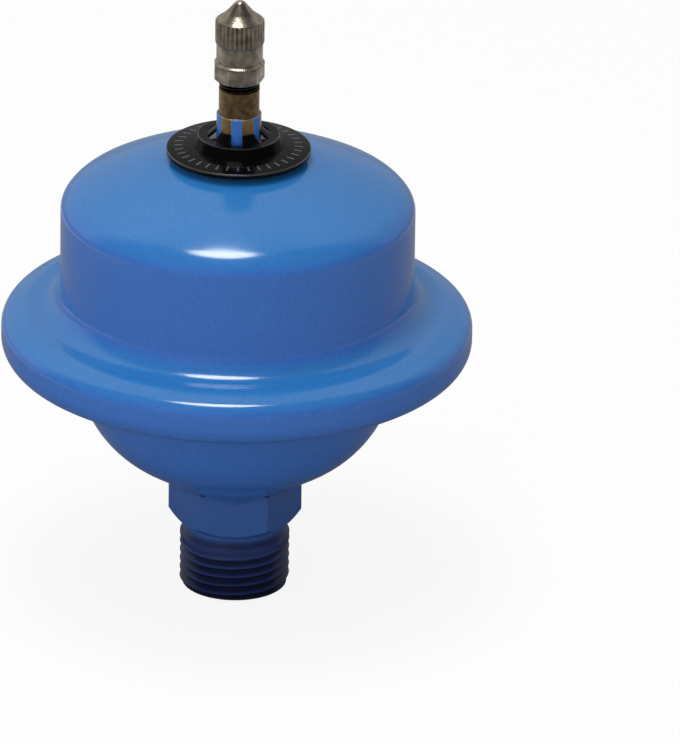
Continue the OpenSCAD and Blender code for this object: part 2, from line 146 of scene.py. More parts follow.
def seen_rays(tree):
    """The Light Path node, and a mask: 1 for camera, glossy and transmission rays, 0 for mere light."""
    path = add(tree, "ShaderNodeLightPath")
    mirrored = add(tree, "ShaderNodeMath", {0: path.outputs["Is Glossy Ray"],
                   1: path.outputs["Is Transmission Ray"]}, operation="MAXIMUM")
    return path, add(tree, "ShaderNodeMath", {0: path.outputs["Is Camera Ray"], 1: mirrored.outputs[0]},
                     operation="MAXIMUM").outputs[0]


WHITE = linear("#ffffff")
print("white in linear light:", WHITE)

# %% The world
AMBIENT_LEVEL = 0.6
LEFT_SHARE = 1.2
RIGHT_SHARE = 0.8
# The mirrored room is dark in front and pale behind, and its walls are dimmer than its ceiling.
# A direction's Y and Z tell where one turns into the other.
FRONT_LEVEL = 0.05
CEILING_LEVEL = 0.52
CEILING_Y = (0.05, 0.42)
WALL_SHARE = 0.75
WALL_Z = (0.5, 0.85)

world = bpy.data.worlds.new("studio")
bpy.context.scene.world = world
world.use_nodes = True
tree = world.node_tree
tree.nodes.clear()
path, seen = seen_rays(tree)
direction = add(tree, "ShaderNodeTexCoord").outputs["Generated"]
axes = add(tree, "ShaderNodeSeparateXYZ", {0: direction})
leftward = add(tree, "ShaderNodeMapRange", {"Value": axes.outputs["X"], "From Min": -1, "From Max": 1,
               "To Min": LEFT_SHARE, "To Max": RIGHT_SHARE}).outputs[0]
ambient = add(tree, "ShaderNodeMath", {0: leftward, 1: AMBIENT_LEVEL}, operation="MULTIPLY").outputs[0]
ceiling = add(tree, "ShaderNodeMapRange", {"Value": axes.outputs["Y"], "From Min": CEILING_Y[0],
              "From Max": CEILING_Y[1], "To Min": FRONT_LEVEL, "To Max": CEILING_LEVEL},
              interpolation_type="SMOOTHSTEP").outputs[0]
walls = add(tree, "ShaderNodeMapRange", {"Value": axes.outputs["Z"], "From Min": WALL_Z[0],
            "From Max": WALL_Z[1], "To Min": WALL_SHARE, "To Max": 1}).outputs[0]
studio = add(tree, "ShaderNodeMath", {0: ceiling, 1: walls}, operation="MULTIPLY").outputs[0]
mirrored = add(tree, "ShaderNodeMath", {0: leftward, 1: studio}, operation="MULTIPLY").outputs[0]
shown = add(tree, "ShaderNodeMath", {0: mirrored, 1: path.outputs["Is Camera Ray"]},
            operation="MAXIMUM").outputs[0]
light = add(tree, "ShaderNodeBackground", {"Color": WHITE, "Strength": ambient})
sight = add(tree, "ShaderNodeBackground", {"Color": WHITE, "Strength": shown})
mixed = add(tree, "ShaderNodeMixShader", {0: seen, 1: light.outputs[0], 2: sight.outputs[0]})
add(tree, "ShaderNodeOutputWorld", {"Surface": mixed.outputs[0]})
print("world light", AMBIENT_LEVEL)

# %% [markdown]
# ### The floor
# The floor is a sheet of matt white paper. The vessel's upright wall mirrors it, so its brightness shapes
# the wall: dark close to the vessel, paler farther off and behind it, and one faint ring beside it. A
# painted picture could hold that, but distance from the axis and direction give it in a few nodes.

# %% The floor
FLOOR_SIZE_M = 8
FLOOR_DROP_MM = 0.2
PAPER_LIT = "#b0b0b0"
PAPER_SEEN = "#f0f0f0"
FLOOR_GLOW = 0.88
# Levels that gloss mirrors: by distance, by direction, and on the ring
NEAR_M = (0.02, 0.2)
NEAR_LEVEL = (0.02, 0.11)
BEHIND_Y = 0.9
BEHIND_SHARE = 2.2
RING_M = 0.25
RING_HALF_M = 0.03
RING_LEVEL = 0.3
RING_Y = (-0.8, 0.1)
RING_LEFT = 1.5
RING_RIGHT = 0.7

floor_paint = bpy.data.materials.new("matt_white_paper")
floor_paint.use_nodes = True
tree = floor_paint.node_tree
tree.nodes.clear()
path, seen = seen_rays(tree)
paper = add(tree, "ShaderNodeBsdfDiffuse", {"Color": linear(PAPER_LIT)})
place = add(tree, "ShaderNodeTexCoord").outputs["Object"]
away = add(tree, "ShaderNodeVectorMath", {0: place}, operation="LENGTH").outputs["Value"]
towards = add(tree, "ShaderNodeVectorMath", {0: place}, operation="NORMALIZE").outputs[0]
axes = add(tree, "ShaderNodeSeparateXYZ", {0: towards})
near = add(tree, "ShaderNodeMapRange", {"Value": away, "From Min": NEAR_M[0], "From Max": NEAR_M[1],
           "To Min": NEAR_LEVEL[0], "To Max": NEAR_LEVEL[1]}).outputs[0]
behind = add(tree, "ShaderNodeMapRange", {"Value": axes.outputs["Y"], "From Max": BEHIND_Y, "To Min": 1,
             "To Max": BEHIND_SHARE}).outputs[0]
paper_level = add(tree, "ShaderNodeMath", {0: near, 1: behind}, operation="MULTIPLY").outputs[0]
ring = add(tree, "ShaderNodeMath", {0: away, 1: RING_M, 2: RING_HALF_M}, operation="COMPARE").outputs[0]
aside = add(tree, "ShaderNodeMapRange", {"Value": axes.outputs["Y"], "From Min": RING_Y[0],
            "From Max": RING_Y[1], "To Max": RING_LEVEL}, interpolation_type="SMOOTHSTEP").outputs[0]
leftward = add(tree, "ShaderNodeMapRange", {"Value": axes.outputs["X"], "From Min": -1, "From Max": 1,
               "To Min": RING_LEFT, "To Max": RING_RIGHT}).outputs[0]
ring_level = add(tree, "ShaderNodeMath", {0: aside, 1: leftward}, operation="MULTIPLY").outputs[0]
mirrored = add(tree, "ShaderNodeMath", {0: ring, 1: ring_level, 2: paper_level},
               operation="MULTIPLY_ADD").outputs[0]
level = add(tree, "ShaderNodeMath", {0: mirrored, 1: path.outputs["Is Camera Ray"]},
            operation="MAXIMUM").outputs[0]
white = add(tree, "ShaderNodeEmission", {"Color": WHITE, "Strength": level})
bright_paper = add(tree, "ShaderNodeBsdfDiffuse", {"Color": linear(PAPER_SEEN)})
shown = add(tree, "ShaderNodeMixShader", {0: FLOOR_GLOW, 1: bright_paper.outputs[0], 2: white.outputs[0]})
mixed = add(tree, "ShaderNodeMixShader", {0: seen, 1: paper.outputs[0], 2: shown.outputs[0]})
add(tree, "ShaderNodeOutputMaterial", {"Surface": mixed.outputs[0]})

bm = bmesh.new()
bmesh.ops.create_grid(bm, x_segments=1, y_segments=1, size=FLOOR_SIZE_M / 2)
bmesh.ops.translate(bm, verts=bm.verts, vec=(0, 0, cad_low.z - FLOOR_DROP_MM * MM))
floor_mesh = bpy.data.meshes.new("floor")
bm.to_mesh(floor_mesh)
bm.free()
floor = bpy.data.objects.new("floor", floor_mesh)
floor.data.materials.append(floor_paint)
bpy.context.scene.collection.objects.link(floor)
print("floor at", round((cad_low.z * 1000) - FLOOR_DROP_MM, 2), "mm")

# %% [markdown]
# ### The lamps
# One round softbox hangs overhead, and gloss shows it as the white lines on the shoulder, the fillet and
# the rim. Two more lamps only add soft light. `visible_glossy` hides them from mirrored rays, or every
# bend would show three lines in place of one.

# %% The lamps
LAMP_AIM_M = Vector((0, 0, 0.07))


def softbox(name, direction, distance, size, power, mirrored=True):
    """A round lamp that looks at the object from a direction; mirrored says whether gloss shows it."""
    data = bpy.data.lights.new(name, "AREA")
    data.shape = "DISK"
    data.size = size
    data.energy = power
    lamp = bpy.data.objects.new(name, data)
    towards = Vector(direction).normalized()
    lamp.location = LAMP_AIM_M + towards * distance
    lamp.rotation_mode = "QUATERNION"
    lamp.rotation_quaternion = towards.to_track_quat("Z", "Y")
    lamp.visible_glossy = mirrored
    bpy.context.scene.collection.objects.link(lamp)
    return lamp


softbox("overhead_softbox", (-0.085, -0.04, 0.994), distance=0.8, size=0.31, power=2.3)
softbox("ceiling_panel", (-0.08, -0.36, 0.93), distance=0.8, size=0.3, power=0.9, mirrored=False)
softbox("front_fill", (-0.4, -0.85, 0.3), distance=1.2, size=0.9, power=3.5, mirrored=False)

# %% [markdown]
# ## Drawing a section
# Nearly every piece here was drawn, rolled or turned, so it is round about one axis. On a lathe the tool
# follows an outline; here a vertex does. `line` extrudes the last vertex to a new place, and `arc` spins
# it about a centre in the plane of the section, which gives a true circle. Spinning the finished outline
# about the upright axis then gives the solid. All drawing is in millimetres, and the finished mesh is
# scaled once.

# %% Section helpers
ARC_STEP = math.radians(4)
ARC_CHORD_MM = 1.2
LONG_EDGE_MM = 2.5
LONG_EDGE_CUTS = 4
MERGE_MM = 1e-4


def box_mm(node):
    """Lowest and highest corner of a node of the frame, in millimetres."""
    low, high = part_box(node)
    return low / MM, high / MM


def line(bm, tip, r, z):
    """Extrudes the outline's last vertex to a radius and a height."""
    new = bmesh.ops.extrude_vert_indiv(bm, verts=[tip])["verts"][0]
    new.co = (r, 0, z)
    return new


def arc(bm, tip, centre, radius, start, end):
    """A line to the arc's first point, then the arc from one angle to another, in degrees."""
    start, end = math.radians(start), math.radians(end)
    tip = line(bm, tip, centre[0] + radius * math.cos(start), centre[1] + radius * math.sin(start))
    steps = max(1, math.ceil(abs(end - start) / ARC_STEP),
                math.ceil(abs(end - start) * radius / ARC_CHORD_MM))
    made = bmesh.ops.spin(bm, geom=[tip], cent=(centre[0], 0, centre[1]), axis=(0, -1, 0),
                          angle=end - start, steps=steps)
    return [part for part in made["geom_last"] if isinstance(part, bmesh.types.BMVert)][0]


def close(bm, tip, first):
    """Joins the outline's last vertex to its first."""
    bm.edges.new((tip, first))


def spin_round(bm, steps):
    """Splits long straight stretches, then spins the outline once about the upright axis."""
    bmesh.ops.remove_doubles(bm, verts=bm.verts, dist=MERGE_MM)
    long_edges = [e for e in bm.edges if e.calc_length() > LONG_EDGE_MM]
    bmesh.ops.subdivide_edges(bm, edges=long_edges, cuts=LONG_EDGE_CUTS)
    bmesh.ops.spin(bm, geom=bm.verts[:] + bm.edges[:], cent=(0, 0, 0), axis=(0, 0, 1),
                   angle=math.tau, steps=steps, use_merge=True)
    bmesh.ops.remove_doubles(bm, verts=bm.verts, dist=MERGE_MM)
    bmesh.ops.recalc_face_normals(bm, faces=bm.faces)


def finish_piece(bm, name, node, sharp_angle=32):
    """The finished mesh, in metres, rides with its node's body and stands for the node."""
    bmesh.ops.scale(bm, verts=bm.verts, vec=(MM, MM, MM))
    for face in bm.faces:
        face.smooth = True
    open_edges = 0
    for edge in bm.edges:
        if len(edge.link_faces) != 2:
            open_edges += 1
        elif edge.calc_face_angle() > math.radians(sharp_angle):
            edge.smooth = False
    mesh = bpy.data.meshes.new(name)
    bm.to_mesh(mesh)
    bm.free()
    piece = bpy.data.objects.new(name, mesh)
    bpy.context.scene.collection.objects.link(piece)
    body = next(b for b, nodes in frame["record"]["behaviour"]["bodies"].items() if node in nodes)
    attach(piece, body)
    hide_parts(node)
    print(name, len(mesh.vertices), "vertices,", len(mesh.polygons), "faces,", open_edges, "open edges")
    return piece


# %% [markdown]
# ## The upper shell
# Dome, straight wall and rim are one drawn steel sheet, and its edge is rolled under the bowl's flange. A
# cylinder with bevels would do from far away, but the white lines of light on the shoulder, the fillet
# and the rim follow the exact radii. So the outline has an arc for each bend, and the inner face repeats
# it one sheet thickness deeper. The brim leaves the fillet level and only then bends down. Its level
# strip catches the light that the fillet throws onto it, which is a second and paler image of the lamp.

# %% Upper shell
SHEET = 1.2
RIM_SLOPE = 11
RIM_HEIGHT = 10.2
RIM_TOP_ROUND = 2.8
BRIM_ROUND = 4.5
BRIM_SLOPE = 23
RIM_LOW_ROUND = 4.2
LIP_WIDTH = 4.05
BODY_R = 33.6
BODY_FILLET = 3.7
FOOT_FILLET = 4.2
BODY_STRAIGHT = 16.2
KNUCKLE_R = 3.2
KNUCKLE_BEND = 35
HAUNCH_R = 8
CROWN_R = 64.5
STEM_HOLE_R = 4.3
SHELL_STEPS = 224

shell_low, shell_high = box_mm("upper_shell")
RIM_R = shell_high.x
Z_LIP = shell_low.z
Z_SEAT = shell_high.z
# In the frame the brim is a plain cone below its fillet. It sets the heights of the rim and the wall.
rim_slope = math.radians(RIM_SLOPE)
z_foot = Z_LIP + RIM_HEIGHT
foot_r = BODY_R + BODY_FILLET * (1 - math.sin(rim_slope))
z_body_fillet = z_foot + BODY_FILLET * math.cos(rim_slope)
rim_edge_r = RIM_R - RIM_TOP_ROUND * (1 - math.sin(rim_slope))
z_rim_top = z_foot - (rim_edge_r - foot_r) * math.tan(rim_slope) - RIM_TOP_ROUND * math.cos(rim_slope)
z_rim_low = Z_LIP + RIM_LOW_ROUND
# Here it is level out to brim_c, the centre of a bend that leads down into the rim's own.
z_brim_top = z_body_fillet - BODY_FILLET
z_brim = z_brim_top - BRIM_ROUND
brim_slope = math.radians(BRIM_SLOPE)
brim_c = RIM_R - RIM_TOP_ROUND + ((z_rim_top - z_brim) * math.cos(brim_slope) + RIM_TOP_ROUND
                                  - BRIM_ROUND) / math.sin(brim_slope)
print("brim is level out to", round(brim_c, 2), "mm")
z_knuckle = z_body_fillet + BODY_STRAIGHT
knuckle_c = BODY_R - KNUCKLE_R
haunch_c = knuckle_c - (HAUNCH_R - KNUCKLE_R) * math.cos(math.radians(KNUCKLE_BEND))
z_haunch = z_knuckle - (HAUNCH_R - KNUCKLE_R) * math.sin(math.radians(KNUCKLE_BEND))
z_crown = z_haunch - math.sqrt((CROWN_R - HAUNCH_R) ** 2 - haunch_c ** 2)
haunch_angle = math.degrees(math.atan2(z_haunch - z_crown, haunch_c))


def shell_bends(depth):
    """Centre, radius and first and last angle of each bend, from the dome to the lip."""
    crown = CROWN_R - depth
    seat = math.degrees(math.asin((Z_SEAT - depth - z_crown) / crown))
    return [
        ((0, z_crown), crown, seat, haunch_angle),
        ((haunch_c, z_haunch), HAUNCH_R - depth, haunch_angle, KNUCKLE_BEND),
        ((knuckle_c, z_knuckle), KNUCKLE_R - depth, KNUCKLE_BEND, 0),
        ((BODY_R + FOOT_FILLET, z_brim_top + FOOT_FILLET), FOOT_FILLET + depth, 180, 270),
        ((brim_c, z_brim), BRIM_ROUND - depth, 90, 90 - BRIM_SLOPE),
        ((RIM_R - RIM_TOP_ROUND, z_rim_top), RIM_TOP_ROUND - depth, 90 - BRIM_SLOPE, 0),
        ((RIM_R - RIM_LOW_ROUND, z_rim_low), RIM_LOW_ROUND - depth, 0, -90),
    ]


lip_r = RIM_R - RIM_LOW_ROUND - LIP_WIDTH
bm = bmesh.new()
first = bm.verts.new((STEM_HOLE_R, 0, Z_SEAT))
tip = first
for bend in shell_bends(0):
    tip = arc(bm, tip, *bend)
tip = line(bm, tip, lip_r, Z_LIP)
tip = line(bm, tip, lip_r, Z_LIP + SHEET)
for bend_centre, radius, start, end in reversed(shell_bends(SHEET)):
    tip = arc(bm, tip, bend_centre, radius, end, start)
tip = line(bm, tip, STEM_HOLE_R, Z_SEAT - SHEET)
close(bm, tip, first)
spin_round(bm, SHELL_STEPS)
upper_shell = finish_piece(bm, "dome_and_rim", "upper_shell")

# %% [markdown]
# ## The lower shell
# The bowl under the rim is drawn too: a flange that the rim clamps, a round side, a conical bottom and a
# flat where the nipple is brazed on. It is drawn as the dome was. Braze and paint fill the corner between
# the bowl and the nipple's hexagon, so the outline runs out in a small fillet against the flats.

# %% Lower shell
BOWL_R = 30.4
BOWL_ROUND = 22
BOWL_SLOPE = 32.5
BOWL_FLAT_R = 12.2
FLANGE_FILLET = 2
SPIGOT_HOLE_R = 8.25
BRAZE_FILLET = 2.5
BRAZE_DEPTH = 0.4

bowl_low, bowl_high = box_mm("lower_shell")
nipple_high = box_mm("water_nipple")[1]
HEX_FLAT = nipple_high.y
FLANGE_R = bowl_high.x
Z_BOWL = bowl_low.z
Z_FLANGE = bowl_high.z - SHEET
bowl_slope = math.radians(BOWL_SLOPE)
bowl_c = BOWL_R - BOWL_ROUND
z_bowl_tangent = Z_BOWL + (bowl_c + BOWL_ROUND * math.sin(bowl_slope) - BOWL_FLAT_R) * math.tan(bowl_slope)
z_bowl_round = z_bowl_tangent + BOWL_ROUND * math.cos(bowl_slope)
z_corner = Z_BOWL - (BOWL_FLAT_R - HEX_FLAT) * math.tan(bowl_slope)
z_braze = z_corner - BRAZE_FILLET * math.tan((math.pi / 2 - bowl_slope) / 2)


def bowl_bends(depth):
    """Centre, radius and first and last angle of the bowl's two bends, from the flange down."""
    return [
        ((BOWL_R + FLANGE_FILLET, Z_FLANGE - FLANGE_FILLET), FLANGE_FILLET + depth, 90, 180),
        ((bowl_c, z_bowl_round), BOWL_ROUND - depth, 0, BOWL_SLOPE - 90),
    ]


bm = bmesh.new()
first = bm.verts.new((FLANGE_R, 0, Z_FLANGE))
tip = first
for bend in bowl_bends(0):
    tip = arc(bm, tip, *bend)
tip = arc(bm, tip, (HEX_FLAT + BRAZE_FILLET, z_braze), BRAZE_FILLET, 90 + BOWL_SLOPE, 180)
tip = line(bm, tip, HEX_FLAT - BRAZE_DEPTH, z_braze)
tip = line(bm, tip, HEX_FLAT - BRAZE_DEPTH, Z_BOWL)
tip = line(bm, tip, SPIGOT_HOLE_R, Z_BOWL)
tip = line(bm, tip, SPIGOT_HOLE_R, Z_BOWL + SHEET)
tip = line(bm, tip, BOWL_FLAT_R - SHEET * math.tan(bowl_slope / 2), Z_BOWL + SHEET)
for bend_centre, radius, start, end in reversed(bowl_bends(SHEET)):
    tip = arc(bm, tip, bend_centre, radius, end, start)
tip = line(bm, tip, FLANGE_R, Z_FLANGE + SHEET)
close(bm, tip, first)
spin_round(bm, SHELL_STEPS)
lower_shell = finish_piece(bm, "bowl", "lower_shell")

# %% [markdown]
# ## The water nipple
# The nipple is turned from hexagon bar, so it is made the same way: a round blank is spun, and six planes
# cut the flats. The cut leaves the curved edges where a flat meets the turned cone, which an extruded
# hexagon would not have. The pipe thread is rolled in afterwards: each vertex of the outer wall sinks by
# the thread's form at its own place along the helix, and the depth fades out towards the neck.

# %% Nipple helpers
CUT_TOLERANCE_MM = 1e-5
CUT_MERGE_MM = 1e-3
# A cut flat has more corners than any face that was spun.
SPUN_FACE_CORNERS = 8
WALL_TOLERANCE_MM = 0.01
# Below 1, the thread's grooves are wider than its crests.
THREAD_FORM = 0.8


def cut_flats(bm, count, distance, first_turn, round_edge):
    """Cuts flats round the axis at a distance from it and rounds the edges that they leave."""
    for k in range(count):
        angle = first_turn + k * math.tau / count
        normal = Vector((math.cos(angle), math.sin(angle), 0))
        geom = bm.verts[:] + bm.edges[:] + bm.faces[:]
        cut = bmesh.ops.bisect_plane(bm, geom=geom, dist=CUT_TOLERANCE_MM, plane_no=normal,
                                     plane_co=normal * distance, clear_outer=True)
        rim = [part for part in cut["geom_cut"] if isinstance(part, bmesh.types.BMEdge)]
        bmesh.ops.edgenet_fill(bm, edges=rim)
    bmesh.ops.remove_doubles(bm, verts=bm.verts, dist=CUT_MERGE_MM)
    bmesh.ops.recalc_face_normals(bm, faces=bm.faces)
    if round_edge:
        flats = [f for f in bm.faces if len(f.verts) > SPUN_FACE_CORNERS]
        edges = list({e for f in flats for e in f.edges})
        bmesh.ops.bevel(bm, geom=edges, offset=round_edge, segments=3, profile=0.5, affect="EDGES",
                        clamp_overlap=True, material=-1)


def roll_thread(bm, low, high, crest_r, pitch, depth, fade):
    """Sinks the outer wall between two heights by a rounded thread, right-handed, faded at its top."""
    for v in bm.verts:
        r = math.hypot(v.co.x, v.co.y)
        if not (low <= v.co.z <= high and r > crest_r - WALL_TOLERANCE_MM):
            continue
        along = v.co.z / pitch - math.atan2(v.co.y, v.co.x) / math.tau
        groove = (0.5 - 0.5 * math.cos(math.tau * along)) ** THREAD_FORM
        end = min(1, max(0, (high - v.co.z) / fade))
        sunk = 1 - depth * groove * end * end * (3 - 2 * end) / r
        v.co.x *= sunk
        v.co.y *= sunk


# %% Water nipple
THREAD_R = 10.48
THREAD_LEN = 11.7
THREAD_PITCH = 1.814
THREAD_DEPTH = 0.85
THREAD_CHAMFER = 0.5
THREAD_RUNOUT = 1.4
THREAD_FADE = 3
THREAD_ROWS = 90
NECK_R = 9.6
NECK_LEN = 0.9
HEX_CONE = math.radians(37)
SPIGOT_R = 8.2
INLET_R = 6
HEX_EDGE = 0.5
HEX_STOCK = 0.4
NIPPLE_STEPS = 192

HEX_CORNER_R = nipple_high.x
z_hex_low = THREAD_LEN + NECK_LEN
stock_r = HEX_CORNER_R + HEX_STOCK
bm = bmesh.new()
first = bm.verts.new((INLET_R, 0, THREAD_CHAMFER))
tip = line(bm, first, INLET_R + THREAD_CHAMFER, 0)
tip = line(bm, tip, THREAD_R - THREAD_CHAMFER, 0)
thread_foot = line(bm, tip, THREAD_R, THREAD_CHAMFER)
tip = line(bm, thread_foot, THREAD_R, THREAD_LEN - THREAD_RUNOUT)
wall = [e for e in tip.link_edges if thread_foot in e.verts]
tip = line(bm, tip, NECK_R, THREAD_LEN)
tip = line(bm, tip, NECK_R, z_hex_low)
tip = line(bm, tip, stock_r, z_hex_low + (stock_r - NECK_R) * math.tan(HEX_CONE))
tip = line(bm, tip, stock_r, Z_BOWL)
tip = line(bm, tip, SPIGOT_R, Z_BOWL)
tip = line(bm, tip, SPIGOT_R, nipple_high.z)
tip = line(bm, tip, INLET_R, nipple_high.z)
close(bm, tip, first)
bmesh.ops.subdivide_edges(bm, edges=wall, cuts=THREAD_ROWS)
spin_round(bm, NIPPLE_STEPS)
roll_thread(bm, THREAD_CHAMFER, THREAD_LEN - THREAD_RUNOUT, THREAD_R, THREAD_PITCH, THREAD_DEPTH,
            THREAD_FADE)
cut_flats(bm, 6, HEX_FLAT, math.pi / 6, HEX_EDGE)
water_nipple = finish_piece(bm, "water_nipple_turned", "water_nipple")

# %% [markdown]
# ## The valve stem
# The stem is turned brass: a step that comes through the dome, a plain shank and a fine thread under the
# cap. Its bore holds the valve core. The same outline and thread functions make it. The step ends in a
# chamfer that catches the light, and it stands a little higher here than in the frame.

# %% Valve stem
STEP_R = 4.25
STEP_HEIGHT = 8.3
VALVE_LIFT = 0.4
STEM_R = 3.87
SHANK_R = 3.85
SHANK_LEN = 4.7
STEM_PITCH = 0.794
STEM_THREAD_DEPTH = 0.3
STEM_THREAD_ROWS = 150
STEM_THREAD_START = 0.3
STEM_THREAD_FADE = 0.2
STEM_FLANGE_T = 1.8
SMALL_CHAMFER = 0.35
STEP_CHAMFER_RISE = 0.22
PLUG_BORE_R = 2.65
CORE_BORE_R = 2.35
CORE_SEAT_R = 1.95
STEM_STEPS = 128

stem_low, stem_high = box_mm("valve_stem")
plug_low = box_mm("core_plug")[0]
gasket_low, gasket_high = box_mm("core_gasket")
Z_STEM = stem_high.z
z_step = Z_SEAT + STEP_HEIGHT + VALVE_LIFT
z_thread = z_step + SHANK_LEN
z_flange_top = stem_low.z + STEM_FLANGE_T
bm = bmesh.new()
first = bm.verts.new((CORE_SEAT_R, 0, stem_low.z))
tip = line(bm, first, stem_high.x, stem_low.z)
tip = line(bm, tip, stem_high.x, z_flange_top)
tip = line(bm, tip, STEP_R, z_flange_top)
tip = line(bm, tip, STEP_R, z_step - STEP_CHAMFER_RISE)
tip = line(bm, tip, STEP_R - SMALL_CHAMFER, z_step)
tip = line(bm, tip, SHANK_R, z_step)
tip = line(bm, tip, SHANK_R, z_thread)
thread_foot = line(bm, tip, STEM_R, z_thread + STEM_R - SHANK_R)
tip = line(bm, thread_foot, STEM_R, Z_STEM - SMALL_CHAMFER)
wall = [e for e in tip.link_edges if thread_foot in e.verts]
tip = line(bm, tip, STEM_R - SMALL_CHAMFER, Z_STEM)
tip = line(bm, tip, PLUG_BORE_R + SMALL_CHAMFER / 2, Z_STEM)
tip = line(bm, tip, PLUG_BORE_R, Z_STEM - SMALL_CHAMFER)
tip = line(bm, tip, PLUG_BORE_R, plug_low.z)
tip = line(bm, tip, CORE_BORE_R, plug_low.z)
tip = line(bm, tip, CORE_BORE_R, gasket_high.z)
tip = line(bm, tip, CORE_SEAT_R, gasket_low.z)
close(bm, tip, first)
bmesh.ops.subdivide_edges(bm, edges=wall, cuts=STEM_THREAD_ROWS)
spin_round(bm, STEM_STEPS)
roll_thread(bm, z_thread + STEM_THREAD_START, Z_STEM, STEM_R, STEM_PITCH, STEM_THREAD_DEPTH,
            STEM_THREAD_FADE)
valve_stem = finish_piece(bm, "valve_stem_turned", "valve_stem")

# %% [markdown]
# ## The label disc
# A thin black disc is pressed over the stem: a turned-down edge, a sloping ring for marks, a raised hub
# and six spring teeth. It starts as one spun sheet without thickness. The faces between the teeth are
# deleted, and solidify gives the sheet its thickness. The edge turns down over a small round, which
# catches the light.

# %% Label disc
DISC_T = 0.5
DISC_EDGE = 0.95
DISC_RISE = 1.55
RING_RISE = 0.5
HUB_FOOT_R = 8.6
HUB_R = 7.7
HUB_H = 2.2
TOOTH_ROOT_R = 5.9
TOOTH_RELIEF = 0.2
TOOTH_COUNT = 6
TOOTH_GAP = 28
TOOTH_TURN = 25
TOOTH_PLAY = 0.05
DISC_STEPS = 180
DISC_ROUND = 0.3
DISC_ROUND_END = 80

disc_high = box_mm("label_disc")[1]
DISC_R = disc_high.x
z_disc = Z_SEAT + DISC_RISE
z_ring = z_disc + RING_RISE
z_hub = z_ring + HUB_H
tooth_tip_r = STEP_R + TOOTH_PLAY
bm = bmesh.new()
tip = bm.verts.new((DISC_R, 0, z_disc - DISC_EDGE))
tip = arc(bm, tip, (DISC_R - DISC_ROUND, z_disc - DISC_ROUND), DISC_ROUND, 0, DISC_ROUND_END)
tip = line(bm, tip, HUB_FOOT_R, z_ring)
tip = line(bm, tip, HUB_R, z_hub)
tip = line(bm, tip, TOOTH_ROOT_R + TOOTH_RELIEF, z_hub)
tip = line(bm, tip, TOOTH_ROOT_R, z_hub)
line(bm, tip, tooth_tip_r, disc_high.z)
bmesh.ops.spin(bm, geom=bm.verts[:] + bm.edges[:], cent=(0, 0, 0), axis=(0, 0, 1), angle=math.tau,
               steps=DISC_STEPS, use_merge=True)
gap_turn = Matrix.Rotation(math.radians(TOOTH_TURN), 3, "Z")
bmesh.ops.rotate(bm, verts=bm.verts, cent=(0, 0, 0), matrix=gap_turn)
bmesh.ops.remove_doubles(bm, verts=bm.verts, dist=MERGE_MM)
bmesh.ops.recalc_face_normals(bm, faces=bm.faces)


def in_gap(face):
    """True for a face of the sheet between two spring teeth."""
    spot = face.calc_center_median()
    turn = (math.degrees(math.atan2(spot.y, spot.x)) - TOOTH_TURN) % (360 / TOOTH_COUNT)
    return math.hypot(spot.x, spot.y) < TOOTH_ROOT_R + TOOTH_RELIEF and min(
        turn, 360 / TOOTH_COUNT - turn) < TOOTH_GAP / 2


bmesh.ops.delete(bm, geom=[f for f in bm.faces if in_gap(f)], context="FACES")
if sum(f.normal.z * f.calc_area() for f in bm.faces) < 0:
    bmesh.ops.reverse_faces(bm, faces=bm.faces)
bmesh.ops.solidify(bm, geom=bm.faces[:], thickness=DISC_T)
label_disc = finish_piece(bm, "label_disc_pressed", "label_disc")

# %% [markdown]
# ## The valve cap
# The cap is turned and plated: a small hexagon, a collar and a groove, a smooth band, a knurl for the
# fingers, a cone and a rounded nose. The hexagon's flats lie inside the band's radius, so planes that cut
# it would also cut the band. So it is made first, in a mesh of its own, and joins the turned body at the
# end. The knurl is pressed in as the thread was, and it runs out at its foot.

# %% Cap's hexagon
CAP_HEX_FLAT = 4.25
CAP_HEX_H = 4.5
CAP_HEX_TURN = 10
CAP_HEX_ROUND = 0.08
CAP_HEX_BEVEL = 30
CAP_EDGE = 0.12
CAP_STOCK_R = 4.76
CAP_COLLAR_H = 1.2
CAP_BORE_R = 3.95
CAP_STEPS = 320

cap_low, cap_high = box_mm("valve_cap")
Z_CAP = cap_low.z
z_band = Z_CAP + CAP_HEX_H
z_collar = z_band - CAP_COLLAR_H
bevel_rise = math.tan(math.radians(CAP_HEX_BEVEL))
hex_low_r = CAP_HEX_FLAT - CAP_EDGE

bm = bmesh.new()
first = bm.verts.new((CAP_BORE_R, 0, Z_CAP))
tip = line(bm, first, hex_low_r, Z_CAP)
tip = line(bm, tip, CAP_STOCK_R, Z_CAP + (CAP_STOCK_R - hex_low_r) * bevel_rise)
tip = line(bm, tip, CAP_STOCK_R, z_collar)
tip = line(bm, tip, CAP_BORE_R, z_collar)
close(bm, tip, first)
spin_round(bm, CAP_STEPS)
cut_flats(bm, 6, CAP_HEX_FLAT, math.radians(CAP_HEX_TURN + 30), CAP_HEX_ROUND)
hexagon = bpy.data.meshes.new("cap_hexagon")
bm.to_mesh(hexagon)
bm.free()
print("cap's hexagon:", len(hexagon.polygons), "faces")

# %% Cap's body
COLLAR_OVERLAP = 0.02
COLLAR_CHAMFER = 0.14
COLLAR_CHAMFER_RISE = 0.1
COLLAR_EDGE = 0.35
COLLAR_SLOPE = 33
GROOVE_R = 4.15
BAND_R = 4.4
BAND_H = 3
BAND_CHAMFER_RISE = 0.1
KNURL_R = 4.65
KNURL_DEPTH = 0.38
KNURL_H = 4.8
KNURL_STEP = 0.02
KNURL_RUNOUT = 0.5
KNURL_COUNT = 32
KNURL_ROWS = 40
CONE_H = 1.25
CONE_TOP_R = 2.75
NOSE_SLOPE = 50
NOSE_R = 1.4
NOSE_DROP = 0.15
SEAL_PLAY = 0.05

